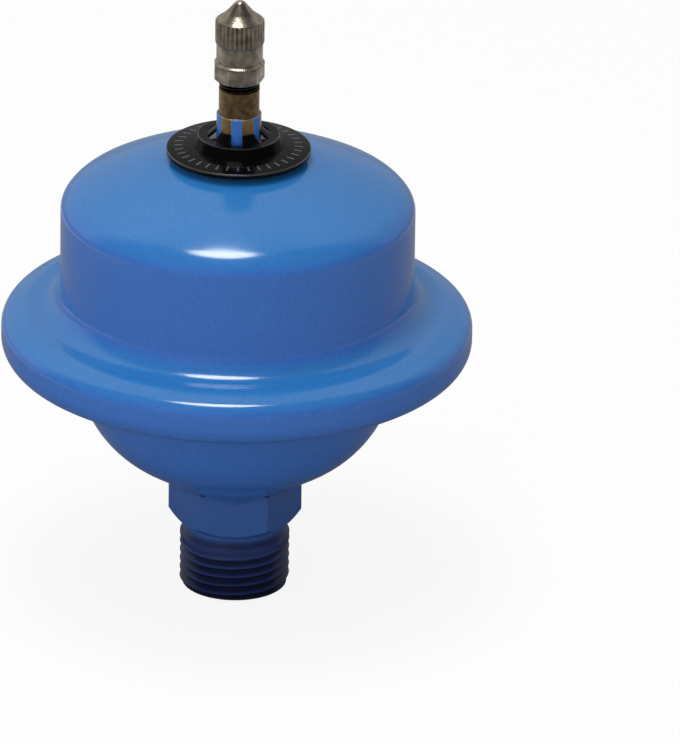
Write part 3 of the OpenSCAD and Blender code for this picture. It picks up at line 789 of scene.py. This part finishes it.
z_collar_edge = z_collar + COLLAR_EDGE
collar_rise = (CAP_STOCK_R - GROOVE_R) * math.tan(math.radians(COLLAR_SLOPE))
z_knurl = z_band + BAND_H
z_shoulder = z_knurl + KNURL_H
z_nose = cap_high.z - NOSE_DROP - NOSE_R
z_cap_bore = box_mm("cap_seal")[1].z + SEAL_PLAY
bm = bmesh.new()
start = bm.verts.new((CAP_BORE_R, 0, z_collar - COLLAR_OVERLAP))
tip = line(bm, start, CAP_STOCK_R - COLLAR_CHAMFER, z_collar - COLLAR_OVERLAP)
tip = line(bm, tip, CAP_STOCK_R, z_collar + COLLAR_CHAMFER_RISE)
tip = line(bm, tip, CAP_STOCK_R, z_collar_edge)
tip = line(bm, tip, GROOVE_R, z_collar_edge + collar_rise)
tip = line(bm, tip, GROOVE_R, z_band)
tip = line(bm, tip, BAND_R, z_band + BAND_CHAMFER_RISE)
tip = line(bm, tip, BAND_R, z_knurl)
knurl_foot = line(bm, tip, KNURL_R, z_knurl + KNURL_STEP)
tip = line(bm, knurl_foot, KNURL_R, z_shoulder - KNURL_STEP)
wall = [e for e in tip.link_edges if knurl_foot in e.verts]
tip = line(bm, tip, BAND_R, z_shoulder)
tip = line(bm, tip, CONE_TOP_R, z_shoulder + CONE_H)
arc(bm, tip, (0, z_nose), NOSE_R, 90 - NOSE_SLOPE, 90)
tip = line(bm, start, CAP_BORE_R, z_cap_bore)
line(bm, tip, 0, z_cap_bore)
bmesh.ops.subdivide_edges(bm, edges=wall, cuts=KNURL_ROWS)
spin_round(bm, CAP_STEPS)

for v in bm.verts:
    r = math.hypot(v.co.x, v.co.y)
    if r < KNURL_R - WALL_TOLERANCE_MM or not z_knurl < v.co.z < z_shoulder:
        continue
    tooth = math.atan2(v.co.y, v.co.x) * KNURL_COUNT / math.tau % 1
    groove = (0.5 - 0.5 * math.cos(math.tau * tooth)) ** 2
    sunk = KNURL_DEPTH * groove
    foot = min(1, max(0, (v.co.z - z_knurl) / KNURL_RUNOUT))
    sunk += (KNURL_R - BAND_R - sunk) * (1 - foot) ** 2
    sunk = max(sunk, KNURL_R - BAND_R - (z_shoulder - v.co.z))
    v.co.x *= 1 - sunk / r
    v.co.y *= 1 - sunk / r
bm.from_mesh(hexagon)
bpy.data.meshes.remove(hexagon)
valve_cap = finish_piece(bm, "valve_cap_turned", "valve_cap")

# %% [markdown]
# ## The return spring
# A spring is wire wound on a rod. Spinning a small circle about the axis, with a little rise at every
# step, winds it the same way. When the pin is pressed the real spring gets shorter.

# %% Return spring
WIRE = 0.24
SPRING_TURNS = 4.5
STEPS_PER_TURN = 28
WIRE_SIDES = 10

spring_low, spring_high = box_mm("core_spring")
coil_r = spring_high.x - WIRE / 2
spring_steps = round(SPRING_TURNS * STEPS_PER_TURN)
rise = (spring_high.z - spring_low.z - WIRE) / spring_steps
bm = bmesh.new()
bmesh.ops.create_circle(bm, segments=WIRE_SIDES, radius=WIRE / 2)
bmesh.ops.rotate(bm, verts=bm.verts, cent=(0, 0, 0), matrix=Matrix.Rotation(math.pi / 2, 3, "X"))
bmesh.ops.translate(bm, verts=bm.verts, vec=(coil_r, 0, spring_low.z + WIRE / 2))
bmesh.ops.spin(bm, geom=bm.verts[:] + bm.edges[:], cent=(0, 0, 0), axis=(0, 0, 1), dvec=(0, 0, rise),
               angle=math.tau * SPRING_TURNS, steps=spring_steps)
bmesh.ops.holes_fill(bm, edges=[e for e in bm.edges if e.is_boundary], sides=WIRE_SIDES)
bmesh.ops.recalc_face_normals(bm, faces=bm.faces)
return_spring = finish_piece(bm, "return_spring_wound", "core_spring", sharp_angle=60)
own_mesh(return_spring)

# %% [markdown]
# ## Finishes
# Each finish starts from what the real one is: a film of baked paint, bare tarnished brass, dulled
# plating, printed sheet. A picture wrapped round the piece could hold all of it, but it would fix one
# size and one light. Here patterns are computed from the place on the piece in metres, so a ripple of
# 1.5 mm is written as a scale of 1000 / 1.5, and each material stays sharp at any distance.

# %% Start of a finish


def new_finish(name):
    """A material, its node tree, its principled shader and the texture coordinates."""
    material = bpy.data.materials.new(name)
    material.use_nodes = True
    tree = material.node_tree
    return material, tree, tree.nodes["Principled BSDF"], add(tree, "ShaderNodeTexCoord")


def feed(tree, shader, **sources):
    """Links or sets sockets of the shader; base_color stands for Base Color."""
    for name, source in sources.items():
        socket = shader.inputs[name.replace("_", " ").title()]
        if isinstance(source, bpy.types.NodeSocket):
            tree.links.new(source, socket)
        else:
            socket.default_value = source


# %% [markdown]
# ### Baked blue enamel
# The shells were sprayed and baked. The film is glossy and slightly rippled, which painters call orange
# peel. The blue is a little greener where a face looks up, which is painted light from the overhead lamp,
# and darker towards the nipple, which is painted shade under the bowl. A chip at the rim shows dark steel,
# and a few dust grains are baked into the film. Each of these is a mask from the place or the way a face
# looks, so that it can be changed by itself.

# %% Blue enamel
# To the eye: a deep gloss, with highlights whose edges tremble a little.
PAINT_SIDE = "#366dbf"
# Painted light: upward faces get a greener blue that stands in for the overhead light.
PAINT_UP_PAINTED_LIGHT = "#2a72b5"
PAINTED_LIGHT_FACING = (0.2, 0.95)
# Painted shade: the blue darkens towards the nipple, under the bowl.
PAINT_LOW_PAINTED_SHADE = "#365c9f"
PAINT_SHADE_HEIGHTS_MM = (20.5, 26)
PEEL_MM = 1.5
PEEL_HEIGHT_MM = 0.004
MOTTLE_MM = 0.55
MOTTLE_SPREAD = (0.25, 0.75)
MOTTLE_SHADE = (0.9, 1.1)
ENAMEL_ROUGHNESS = 0.15
ENAMEL_SPECULAR = 1.0
CHIP_STEEL = "#17181d"
CHIP_ROUGHNESS = 0.6
CHIPS = [((-44.3, -6.3, 51.2), 0.55)]
GRAINS = [((-38.8, -5.0, 56.3), 0.3), ((-20.3, -5.0, 85.4), 0.3), ((8.9, -17.6, 85.8), 0.32),
          ((-1.9, -44.7, 51.6), 0.3)]
GRAIN_RISE = 8.0
MARK_EDGE = 1.3

blue_enamel, tree, shader, coords = new_finish("baked_blue_enamel")
place = coords.outputs["Object"]
facing = add(tree, "ShaderNodeSeparateXYZ", {0: coords.outputs["Normal"]}).outputs["Z"]
# Painted light: the share of the greener blue grows as a face looks up.
painted_light_share = add(tree, "ShaderNodeMapRange", {"Value": facing, "From Min": PAINTED_LIGHT_FACING[0],
             "From Max": PAINTED_LIGHT_FACING[1]}, interpolation_type="SMOOTHSTEP").outputs[0]
painted_top_light = add(tree, "ShaderNodeMix", {0: painted_light_share, 6: linear(PAINT_SIDE), 7: linear(PAINT_UP_PAINTED_LIGHT)},
                data_type="RGBA").outputs[2]
height = add(tree, "ShaderNodeSeparateXYZ", {0: place}).outputs["Z"]
# Painted shade: below these heights the blue darkens towards the nipple.
clear_of_low_shade = add(tree, "ShaderNodeMapRange", {"Value": height, "From Min": PAINT_SHADE_HEIGHTS_MM[0] * MM,
           "From Max": PAINT_SHADE_HEIGHTS_MM[1] * MM}).outputs[0]
tone = add(tree, "ShaderNodeMix", {0: clear_of_low_shade, 6: linear(PAINT_LOW_PAINTED_SHADE), 7: painted_top_light},
           data_type="RGBA").outputs[2]
speckle = add(tree, "ShaderNodeTexNoise", {"Vector": place, "Scale": 1000 / MOTTLE_MM,
              "Detail": 3}).outputs["Fac"]
shade = add(tree, "ShaderNodeMapRange", {"Value": speckle, "From Min": MOTTLE_SPREAD[0],
            "From Max": MOTTLE_SPREAD[1], "To Min": MOTTLE_SHADE[0], "To Max": MOTTLE_SHADE[1]}).outputs[0]
mottled = add(tree, "ShaderNodeMix", {0: 1.0, 6: tone, 7: shade}, data_type="RGBA",
              blend_type="MULTIPLY").outputs[2]
peel = add(tree, "ShaderNodeTexNoise", {"Vector": place, "Scale": 1000 / PEEL_MM,
           "Detail": 1}).outputs["Fac"]
marks = {}
for kind, spots in (("chip", CHIPS), ("grain", GRAINS)):
    marks[kind] = 0.0
    for spot, radius in spots:
        gap = add(tree, "ShaderNodeVectorMath", {0: place, 1: Vector(spot) * MM}, operation="DISTANCE")
        ragged = add(tree, "ShaderNodeMath", {0: speckle, 1: radius * MM, 2: gap.outputs["Value"]},
                     operation="MULTIPLY_ADD").outputs[0]
        mark = add(tree, "ShaderNodeMapRange", {"Value": ragged, "From Min": radius * MM * MARK_EDGE,
                   "From Max": radius * MM}).outputs[0]
        marks[kind] = add(tree, "ShaderNodeMath", {0: marks[kind], 1: mark}, operation="MAXIMUM").outputs[0]
chipped = add(tree, "ShaderNodeMix", {0: marks["chip"], 6: mottled, 7: linear(CHIP_STEEL)},
              data_type="RGBA").outputs[2]
relief = add(tree, "ShaderNodeMath", {0: marks["grain"], 1: GRAIN_RISE, 2: peel},
             operation="MULTIPLY_ADD").outputs[0]
film = add(tree, "ShaderNodeBump", {"Height": relief, "Distance": PEEL_HEIGHT_MM * MM, "Strength": 1.0})
sheen = add(tree, "ShaderNodeMapRange", {"Value": marks["chip"], "To Min": ENAMEL_ROUGHNESS,
            "To Max": CHIP_ROUGHNESS}).outputs[0]
feed(tree, shader, base_color=chipped, roughness=sheen, normal=film.outputs[0])
shader.inputs["Specular IOR Level"].default_value = ENAMEL_SPECULAR
print(blue_enamel.name, "with", len(CHIPS), "chip and", len(GRAINS), "grains")

# %% [markdown]
# ### Thin enamel on the nipple
# The spray only reached the hexagon, the neck and the run-out. Below that the enamel thins over the dark
# steel of the thread, which is darker still towards its end, and the boundary is soft and uneven. Height
# along the axis, shifted by noise, mixes the two. The hexagon's blue is the bowl's blue darkened, which is
# painted shade under the bowl. The thread's roots are darker and its crests paler, which is painted shade
# and painted highlight; the distance from the axis tells them apart.

# %% Navy enamel
# To the eye: a hexagon as blue as the bowl above it, and a nearly black thread with lit crests.
# Painted shade: the hexagon takes the bowl's blue darkened, as shade under the bowl.
HEX_BLUE_PAINTED_SHADE = "#365c9f"
NAVY_THIN = "#212d58"
NAVY_END = "#141d42"
SPRAY_EDGE_MM = (11.1, 13.1)
# The thread turns darker towards its end between these heights.
THREAD_END_DARK_MM = (1.0, 8.0)
SPRAY_CLOUD_MM = 5
SPRAY_RAGGED_MM = 0.6
# Painted shade and highlight: thread roots are darkened and crests lightened by distance from the axis.
THREAD_SHADE_RADII_MM = (9.8, 10.4)
THREAD_SHADE_AND_HIGHLIGHT = (0.45, 1.45)
NAVY_PEEL_MM = 1.1
NAVY_PEEL_HEIGHT_MM = 0.02
NAVY_ROUGHNESS = 0.3
NAVY_SPECULAR = 0.35

navy_enamel, tree, shader, coords = new_finish("navy_enamel_with_painted_shade")
place = coords.outputs["Object"]
height = add(tree, "ShaderNodeSeparateXYZ", {0: place}).outputs["Z"]
cloud = add(tree, "ShaderNodeTexNoise", {"Vector": place, "Scale": 1000 / SPRAY_CLOUD_MM,
            "Detail": 2}).outputs["Fac"]
shifted = add(tree, "ShaderNodeMath", {0: cloud, 1: SPRAY_RAGGED_MM * MM, 2: height},
              operation="MULTIPLY_ADD").outputs[0]
cover = add(tree, "ShaderNodeMapRange", {"Value": shifted, "From Min": SPRAY_EDGE_MM[0] * MM,
            "From Max": SPRAY_EDGE_MM[1] * MM}, interpolation_type="SMOOTHSTEP").outputs[0]
above_thread_end = add(tree, "ShaderNodeMapRange", {"Value": shifted, "From Min": THREAD_END_DARK_MM[0] * MM,
                "From Max": THREAD_END_DARK_MM[1] * MM}).outputs[0]
dark = add(tree, "ShaderNodeMix", {0: above_thread_end, 6: linear(NAVY_END), 7: linear(NAVY_THIN)},
           data_type="RGBA").outputs[2]
flat = add(tree, "ShaderNodeVectorMath", {0: place, 1: (1, 1, 0)}, operation="MULTIPLY").outputs[0]
radius = add(tree, "ShaderNodeVectorMath", {0: flat}, operation="LENGTH").outputs["Value"]
# Painted shade in the thread's roots, painted highlight on its crests.
root_shade_crest_highlight = add(tree, "ShaderNodeMapRange", {"Value": radius, "From Min": THREAD_SHADE_RADII_MM[0] * MM,
            "From Max": THREAD_SHADE_RADII_MM[1] * MM, "To Min": THREAD_SHADE_AND_HIGHLIGHT[0],
            "To Max": THREAD_SHADE_AND_HIGHLIGHT[1]}).outputs[0]
thread_painted_light = add(tree, "ShaderNodeMix", {0: 1.0, 6: dark, 7: root_shade_crest_highlight}, data_type="RGBA",
             blend_type="MULTIPLY").outputs[2]
tone = add(tree, "ShaderNodeMix", {0: cover, 6: thread_painted_light, 7: linear(HEX_BLUE_PAINTED_SHADE)}, data_type="RGBA").outputs[2]
peel = add(tree, "ShaderNodeTexNoise", {"Vector": place, "Scale": 1000 / NAVY_PEEL_MM,
           "Detail": 2}).outputs["Fac"]
film = add(tree, "ShaderNodeBump", {"Height": peel, "Distance": NAVY_PEEL_HEIGHT_MM * MM, "Strength": 1.0})
feed(tree, shader, base_color=tone, roughness=NAVY_ROUGHNESS, normal=film.outputs[0])
shader.inputs["Specular IOR Level"].default_value = NAVY_SPECULAR
print(navy_enamel.name, "thins out below", SPRAY_EDGE_MM[1], "mm")

# %% [markdown]
# ### Tarnished brass with paint on its foot
# The stem's brass has gone brown. Paint lies on its step only in the gaps between the disc's spring teeth,
# as if the disc was on when the vessel was sprayed, and the brass between is bright, as if scraped. The
# angle round the axis, times six, repeats one gap all round. The roots of the fine thread are painted near
# black: painted shade in the grooves and under the cap.

# %% Tarnished brass
# To the eye: warm brown metal with soft reflections, barred with blue just above the disc.
BRASS_BROWN = "#b09468"
BRASS_DARK = "#6b563c"
BRASS_BRIGHT = "#d9b678"
# Painted shade: near black in the thread's roots, under the cap.
BRASS_ROOT_SHADE = "#17120d"
BRASS_STAIN_MM = 1.3
BRASS_STAIN_SPREAD = (0.3, 0.7)
BRASS_ROUGHNESS = (0.22, 0.42)
PAINT_BAR_DEG = 14
PAINT_BAR_RAGGED = 0.5
PAINT_BAR_SOFT = 0.06
STEP_PAINT_MM = (0.02, 0.1)
ROOT_SHADE_START_MM = 0.12
ROOT_SHADE_DEPTH_MM = (0.02, 0.07)
# Turning marks are finer than this in life, and are drawn as coarse as they need to show.
BRASS_RINGS_MM = 2
BRASS_RINGS_SQUEEZE = 14
BRASS_RINGS_HEIGHT_MM = 0.01
BRASS_RINGS_STRENGTH = 0.6

stem_brass, tree, shader, coords = new_finish("tarnished_brass")
place = coords.outputs["Object"]
split = add(tree, "ShaderNodeSeparateXYZ", {0: place})
stain = add(tree, "ShaderNodeTexNoise", {"Vector": place, "Scale": 1000 / BRASS_STAIN_MM,
            "Detail": 5}).outputs["Fac"]
age = add(tree, "ShaderNodeMapRange", {"Value": stain, "From Min": BRASS_STAIN_SPREAD[0],
          "From Max": BRASS_STAIN_SPREAD[1]}).outputs[0]
brown = add(tree, "ShaderNodeMix", {0: age, 6: linear(BRASS_DARK), 7: linear(BRASS_BROWN)},
            data_type="RGBA").outputs[2]
angle = add(tree, "ShaderNodeMath", {0: split.outputs["Y"], 1: split.outputs["X"]},
            operation="ARCTAN2").outputs[0]
first_gap = -math.radians(TOOTH_TURN) * TOOTH_COUNT
repeat = add(tree, "ShaderNodeMath", {0: angle, 1: float(TOOTH_COUNT), 2: first_gap},
             operation="MULTIPLY_ADD").outputs[0]
wave = add(tree, "ShaderNodeMath", {0: repeat}, operation="COSINE").outputs[0]
uneven = add(tree, "ShaderNodeMath", {0: stain, 1: PAINT_BAR_RAGGED, 2: wave},
             operation="MULTIPLY_ADD").outputs[0]
bar_edge = math.cos(math.radians(PAINT_BAR_DEG) * TOOTH_COUNT) + PAINT_BAR_RAGGED / 2
in_bar = add(tree, "ShaderNodeMapRange", {"Value": uneven, "From Min": bar_edge - PAINT_BAR_SOFT,
             "From Max": bar_edge + PAINT_BAR_SOFT}).outputs[0]
on_step = add(tree, "ShaderNodeMapRange", {"Value": split.outputs["Z"],
              "From Min": (z_step - STEP_PAINT_MM[0]) * MM,
              "From Max": (z_step - STEP_PAINT_MM[1]) * MM}).outputs[0]
bar = add(tree, "ShaderNodeMath", {0: in_bar, 1: on_step}, operation="MULTIPLY").outputs[0]
scraped = add(tree, "ShaderNodeMix", {0: age, 6: linear(BRASS_BROWN), 7: linear(BRASS_BRIGHT)},
              data_type="RGBA").outputs[2]
on_thread = add(tree, "ShaderNodeMapRange", {"Value": split.outputs["Z"], "From Min": z_thread * MM,
                "From Max": (z_thread + ROOT_SHADE_START_MM) * MM}).outputs[0]
flat = add(tree, "ShaderNodeVectorMath", {0: place, 1: (1, 1, 0)}, operation="MULTIPLY").outputs[0]
radius = add(tree, "ShaderNodeVectorMath", {0: flat}, operation="LENGTH").outputs["Value"]
root = add(tree, "ShaderNodeMapRange", {"Value": radius, "From Min": (STEM_R - ROOT_SHADE_DEPTH_MM[0]) * MM,
           "From Max": (STEM_R - ROOT_SHADE_DEPTH_MM[1]) * MM}).outputs[0]
# Painted shade in the thread's roots under the cap.
painted_root_shade = add(tree, "ShaderNodeMath", {0: on_thread, 1: root}, operation="MULTIPLY").outputs[0]
root_shaded = add(tree, "ShaderNodeMix", {0: painted_root_shade, 6: brown, 7: linear(BRASS_ROOT_SHADE)}, data_type="RGBA").outputs[2]
metal = add(tree, "ShaderNodeMix", {0: on_step, 6: root_shaded, 7: scraped}, data_type="RGBA").outputs[2]
tone = add(tree, "ShaderNodeMix", {0: bar, 6: metal, 7: linear(PAINT_SIDE)}, data_type="RGBA").outputs[2]
bare = add(tree, "ShaderNodeMath", {0: 1.0, 1: bar}, operation="SUBTRACT").outputs[0]
dull = add(tree, "ShaderNodeMapRange", {"Value": stain, "To Min": BRASS_ROUGHNESS[0],
           "To Max": BRASS_ROUGHNESS[1]}).outputs[0]
squeezed = add(tree, "ShaderNodeVectorMath", {0: place, 1: (1, 1, BRASS_RINGS_SQUEEZE)},
               operation="MULTIPLY").outputs[0]
rings = add(tree, "ShaderNodeTexNoise", {"Vector": squeezed, "Scale": 1000 / BRASS_RINGS_MM,
            "Detail": 2}).outputs["Fac"]
lathe = add(tree, "ShaderNodeBump", {"Height": rings, "Distance": BRASS_RINGS_HEIGHT_MM * MM,
            "Strength": BRASS_RINGS_STRENGTH})
feed(tree, shader, base_color=tone, metallic=bare, roughness=dull, normal=lathe.outputs[0])
print(stem_brass.name, "with paint bars", 2 * PAINT_BAR_DEG, "degrees wide")

# %% [markdown]
# ### Dulled nickel plate
# The cap's plating has lost its mirror: it is a warm grey with stains that are darker and rougher. The
# tool that turned the brass below left fine rings, which noise gives when it is squeezed along the axis.

# %% Nickel plate
# To the eye: soft bands of light and dark round the cap in place of a clear mirror image.
NICKEL_CLEAN = "#d3c7b5"
NICKEL_STAIN = "#a29584"
NICKEL_STAIN_MM = 1.6
NICKEL_STAIN_SPREAD = (0.35, 0.65)
NICKEL_ROUGHNESS = (0.38, 0.22)
# Drawn as coarse as they need to show, as on the brass.
NICKEL_RINGS_MM = 1.8
NICKEL_RINGS_SQUEEZE = 16
NICKEL_RINGS_HEIGHT_MM = 0.014

nickel, tree, shader, coords = new_finish("dulled_nickel_plate")
place = coords.outputs["Object"]
stain = add(tree, "ShaderNodeTexNoise", {"Vector": place, "Scale": 1000 / NICKEL_STAIN_MM,
            "Detail": 5}).outputs["Fac"]
age = add(tree, "ShaderNodeMapRange", {"Value": stain, "From Min": NICKEL_STAIN_SPREAD[0],
          "From Max": NICKEL_STAIN_SPREAD[1]}).outputs[0]
tone = add(tree, "ShaderNodeMix", {0: age, 6: linear(NICKEL_STAIN), 7: linear(NICKEL_CLEAN)},
           data_type="RGBA").outputs[2]
dull = add(tree, "ShaderNodeMapRange", {"Value": stain, "To Min": NICKEL_ROUGHNESS[0],
           "To Max": NICKEL_ROUGHNESS[1]}).outputs[0]
squeezed = add(tree, "ShaderNodeVectorMath", {0: place, 1: (1, 1, NICKEL_RINGS_SQUEEZE)},
               operation="MULTIPLY").outputs[0]
rings = add(tree, "ShaderNodeTexNoise", {"Vector": squeezed, "Scale": 1000 / NICKEL_RINGS_MM,
            "Detail": 2}).outputs["Fac"]
lathe = add(tree, "ShaderNodeBump", {"Height": rings, "Distance": NICKEL_RINGS_HEIGHT_MM * MM,
            "Strength": 1.0})
feed(tree, shader, base_color=tone, metallic=1.0, roughness=dull, normal=lathe.outputs[0])
print(nickel.name, "with stains of about", NICKEL_STAIN_MM, "mm")

# %% [markdown]
# ### Black anodised sheet
# The disc is black and glossy, with a bare bright edge where it was cut and a worn edge round its hub.
# Its print is left generic: a ring of short ticks, as a gauge has them, made from the angle round the
# axis and the distance from it.

# %% Black disc
# To the eye: black that mirrors the room in places, with thin silver lines.
DISC_BLACK = "#070708"
DISC_BARE = "#8f9198"
DISC_HAZE_MM = 2.0
DISC_ROUGHNESS = (0.05, 0.16)
DISC_BARE_ROUGHNESS = 0.4
DISC_SPECULAR = 0.12
TICK_COUNT = 36
TICK_FROM_MM = 10.6
TICK_TO_MM = 12.2
TICK_SOFT_MM = 0.05
TICK_WAVE = (0.86, 0.92)
CUT_EDGE_MM = (0.14, 0.08)
CUT_DEPTH_MM = (0.32, 0.24)
HUB_WEAR_MM = 0.06
HUB_DEPTH_MM = (0.3, 0.2)

black_disc, tree, shader, coords = new_finish("black_anodised_sheet")
place = coords.outputs["Object"]
split = add(tree, "ShaderNodeSeparateXYZ", {0: place})
flat = add(tree, "ShaderNodeVectorMath", {0: place, 1: (1, 1, 0)}, operation="MULTIPLY").outputs[0]
radius = add(tree, "ShaderNodeVectorMath", {0: flat}, operation="LENGTH").outputs["Value"]
angle = add(tree, "ShaderNodeMath", {0: split.outputs["Y"], 1: split.outputs["X"]},
            operation="ARCTAN2").outputs[0]
turns = add(tree, "ShaderNodeMath", {0: angle, 1: float(TICK_COUNT)}, operation="MULTIPLY").outputs[0]
wave = add(tree, "ShaderNodeMath", {0: turns}, operation="COSINE").outputs[0]
tick = add(tree, "ShaderNodeMapRange", {"Value": wave, "From Min": TICK_WAVE[0],
           "From Max": TICK_WAVE[1]}).outputs[0]
outside = add(tree, "ShaderNodeMapRange", {"Value": radius, "From Min": TICK_FROM_MM * MM,
              "From Max": (TICK_FROM_MM + TICK_SOFT_MM) * MM}).outputs[0]
inside = add(tree, "ShaderNodeMapRange", {"Value": radius, "From Min": TICK_TO_MM * MM,
             "From Max": (TICK_TO_MM - TICK_SOFT_MM) * MM}).outputs[0]
band = add(tree, "ShaderNodeMath", {0: outside, 1: inside}, operation="MULTIPLY").outputs[0]
printed = add(tree, "ShaderNodeMath", {0: tick, 1: band}, operation="MULTIPLY").outputs[0]
edge = add(tree, "ShaderNodeMapRange", {"Value": radius, "From Min": (DISC_R - CUT_EDGE_MM[0]) * MM,
           "From Max": (DISC_R - CUT_EDGE_MM[1]) * MM}).outputs[0]
upper = add(tree, "ShaderNodeMapRange", {"Value": split.outputs["Z"],
            "From Min": (z_disc - CUT_DEPTH_MM[0]) * MM,
            "From Max": (z_disc - CUT_DEPTH_MM[1]) * MM}).outputs[0]
bright = add(tree, "ShaderNodeMath", {0: edge, 1: upper}, operation="MULTIPLY").outputs[0]
silver = add(tree, "ShaderNodeMath", {0: printed, 1: bright}, operation="MAXIMUM").outputs[0]
hub_edge = add(tree, "ShaderNodeMath", {0: radius, 1: HUB_R * MM, 2: HUB_WEAR_MM * MM},
               operation="COMPARE").outputs[0]
hub_top = add(tree, "ShaderNodeMapRange", {"Value": split.outputs["Z"],
              "From Min": (z_hub - HUB_DEPTH_MM[0]) * MM,
              "From Max": (z_hub - HUB_DEPTH_MM[1]) * MM}).outputs[0]
worn = add(tree, "ShaderNodeMath", {0: hub_edge, 1: hub_top}, operation="MULTIPLY").outputs[0]
silver = add(tree, "ShaderNodeMath", {0: silver, 1: worn}, operation="MAXIMUM").outputs[0]
tone = add(tree, "ShaderNodeMix", {0: silver, 6: linear(DISC_BLACK), 7: linear(DISC_BARE)},
           data_type="RGBA").outputs[2]
haze = add(tree, "ShaderNodeTexNoise", {"Vector": place, "Scale": 1000 / DISC_HAZE_MM,
           "Detail": 4}).outputs["Fac"]
gloss = add(tree, "ShaderNodeMapRange", {"Value": haze, "To Min": DISC_ROUGHNESS[0],
            "To Max": DISC_ROUGHNESS[1]}).outputs[0]
dull = add(tree, "ShaderNodeMix", {0: silver, 2: gloss, 3: DISC_BARE_ROUGHNESS}).outputs[0]
feed(tree, shader, base_color=tone, metallic=silver, roughness=dull)
shader.inputs["Specular IOR Level"].default_value = DISC_SPECULAR
print(black_disc.name, "with", TICK_COUNT, "ticks")

# %% [markdown]
# ### Pieces inside
# The valve core's brass, the rubber and the spring only show when the cap is off or in a cut view, but
# they get real finishes too: clean turned brass, matt rubber with a fine bloom, and drawn wire.

# %% Core brass
# To the eye: clear yellow metal with slightly dull patches.
CORE_DARK = "#9c7c40"
CORE_LIGHT = "#c9a863"
CORE_STAIN_MM = 0.8
CORE_ROUGHNESS = (0.2, 0.4)

core_brass, tree, shader, coords = new_finish("bare_brass")
place = coords.outputs["Object"]
stain = add(tree, "ShaderNodeTexNoise", {"Vector": place, "Scale": 1000 / CORE_STAIN_MM,
            "Detail": 4}).outputs["Fac"]
tone = add(tree, "ShaderNodeMix", {0: stain, 6: linear(CORE_DARK), 7: linear(CORE_LIGHT)},
           data_type="RGBA").outputs[2]
dull = add(tree, "ShaderNodeMapRange", {"Value": stain, "To Min": CORE_ROUGHNESS[0],
           "To Max": CORE_ROUGHNESS[1]}).outputs[0]
feed(tree, shader, base_color=tone, metallic=1.0, roughness=dull)
print(core_brass.name, "with stains of about", CORE_STAIN_MM, "mm")

# %% Rubber
# To the eye: matt near-black with a faint grey bloom.
RUBBER_BLACK = "#1a1a1c"
RUBBER_BLOOM = "#2c2c2f"
RUBBER_BLOOM_MM = 3.0
RUBBER_SKIN_MM = 0.03
RUBBER_SKIN_STRENGTH = 0.5
RUBBER_ROUGHNESS = 0.6

rubber, tree, shader, coords = new_finish("moulded_black_rubber")
place = coords.outputs["Object"]
bloom = add(tree, "ShaderNodeTexNoise", {"Vector": place, "Scale": 1000 / RUBBER_BLOOM_MM,
            "Detail": 5}).outputs["Fac"]
tone = add(tree, "ShaderNodeMix", {0: bloom, 6: linear(RUBBER_BLACK), 7: linear(RUBBER_BLOOM)},
           data_type="RGBA").outputs[2]
skin = add(tree, "ShaderNodeBump", {"Height": bloom, "Distance": RUBBER_SKIN_MM * MM,
           "Strength": RUBBER_SKIN_STRENGTH})
feed(tree, shader, base_color=tone, roughness=RUBBER_ROUGHNESS, normal=skin.outputs[0])
print(rubber.name, "with a bloom of about", RUBBER_BLOOM_MM, "mm")

# %% Spring wire
# To the eye: grey metal with a fine unevenness from the drawing die, drawn as coarse as it needs to show.
WIRE_DARK = "#8f9092"
WIRE_LIGHT = "#b9babc"
WIRE_MARKS_MM = 0.3
WIRE_ROUGHNESS = 0.3

spring_wire, tree, shader, coords = new_finish("drawn_spring_wire")
place = coords.outputs["Object"]
draw_marks = add(tree, "ShaderNodeTexNoise", {"Vector": place, "Scale": 1000 / WIRE_MARKS_MM,
                 "Detail": 2}).outputs["Fac"]
tone = add(tree, "ShaderNodeMix", {0: draw_marks, 6: linear(WIRE_DARK), 7: linear(WIRE_LIGHT)},
           data_type="RGBA").outputs[2]
feed(tree, shader, base_color=tone, metallic=1.0, roughness=WIRE_ROUGHNESS)
print(spring_wire.name, "with marks of about", WIRE_MARKS_MM, "mm")

# %% [markdown]
# ## Dressing the pieces
# Every piece gets one finish. The new pieces have theirs by name, and the frame's own meshes, which stay
# as they are inside the valve and the vessel, are looked up by their node.

# %% Dress the pieces
dressed = {
    upper_shell: blue_enamel, lower_shell: blue_enamel, water_nipple: navy_enamel, valve_stem: stem_brass,
    label_disc: black_disc, valve_cap: nickel, return_spring: spring_wire,
}
for node in ("diaphragm", "cap_seal", "core_gasket", "core_cup_seal"):
    dressed[frame["nodes"][node]] = rubber
for node in ("core_plug", "core_barrel", "core_cup"):
    dressed[frame["nodes"][node]] = core_brass
dressed[frame["nodes"]["core_pin"]] = nickel
for piece, material in dressed.items():
    piece.data.materials.clear()
    piece.data.materials.append(material)
print("finishes on", len(dressed), "pieces")
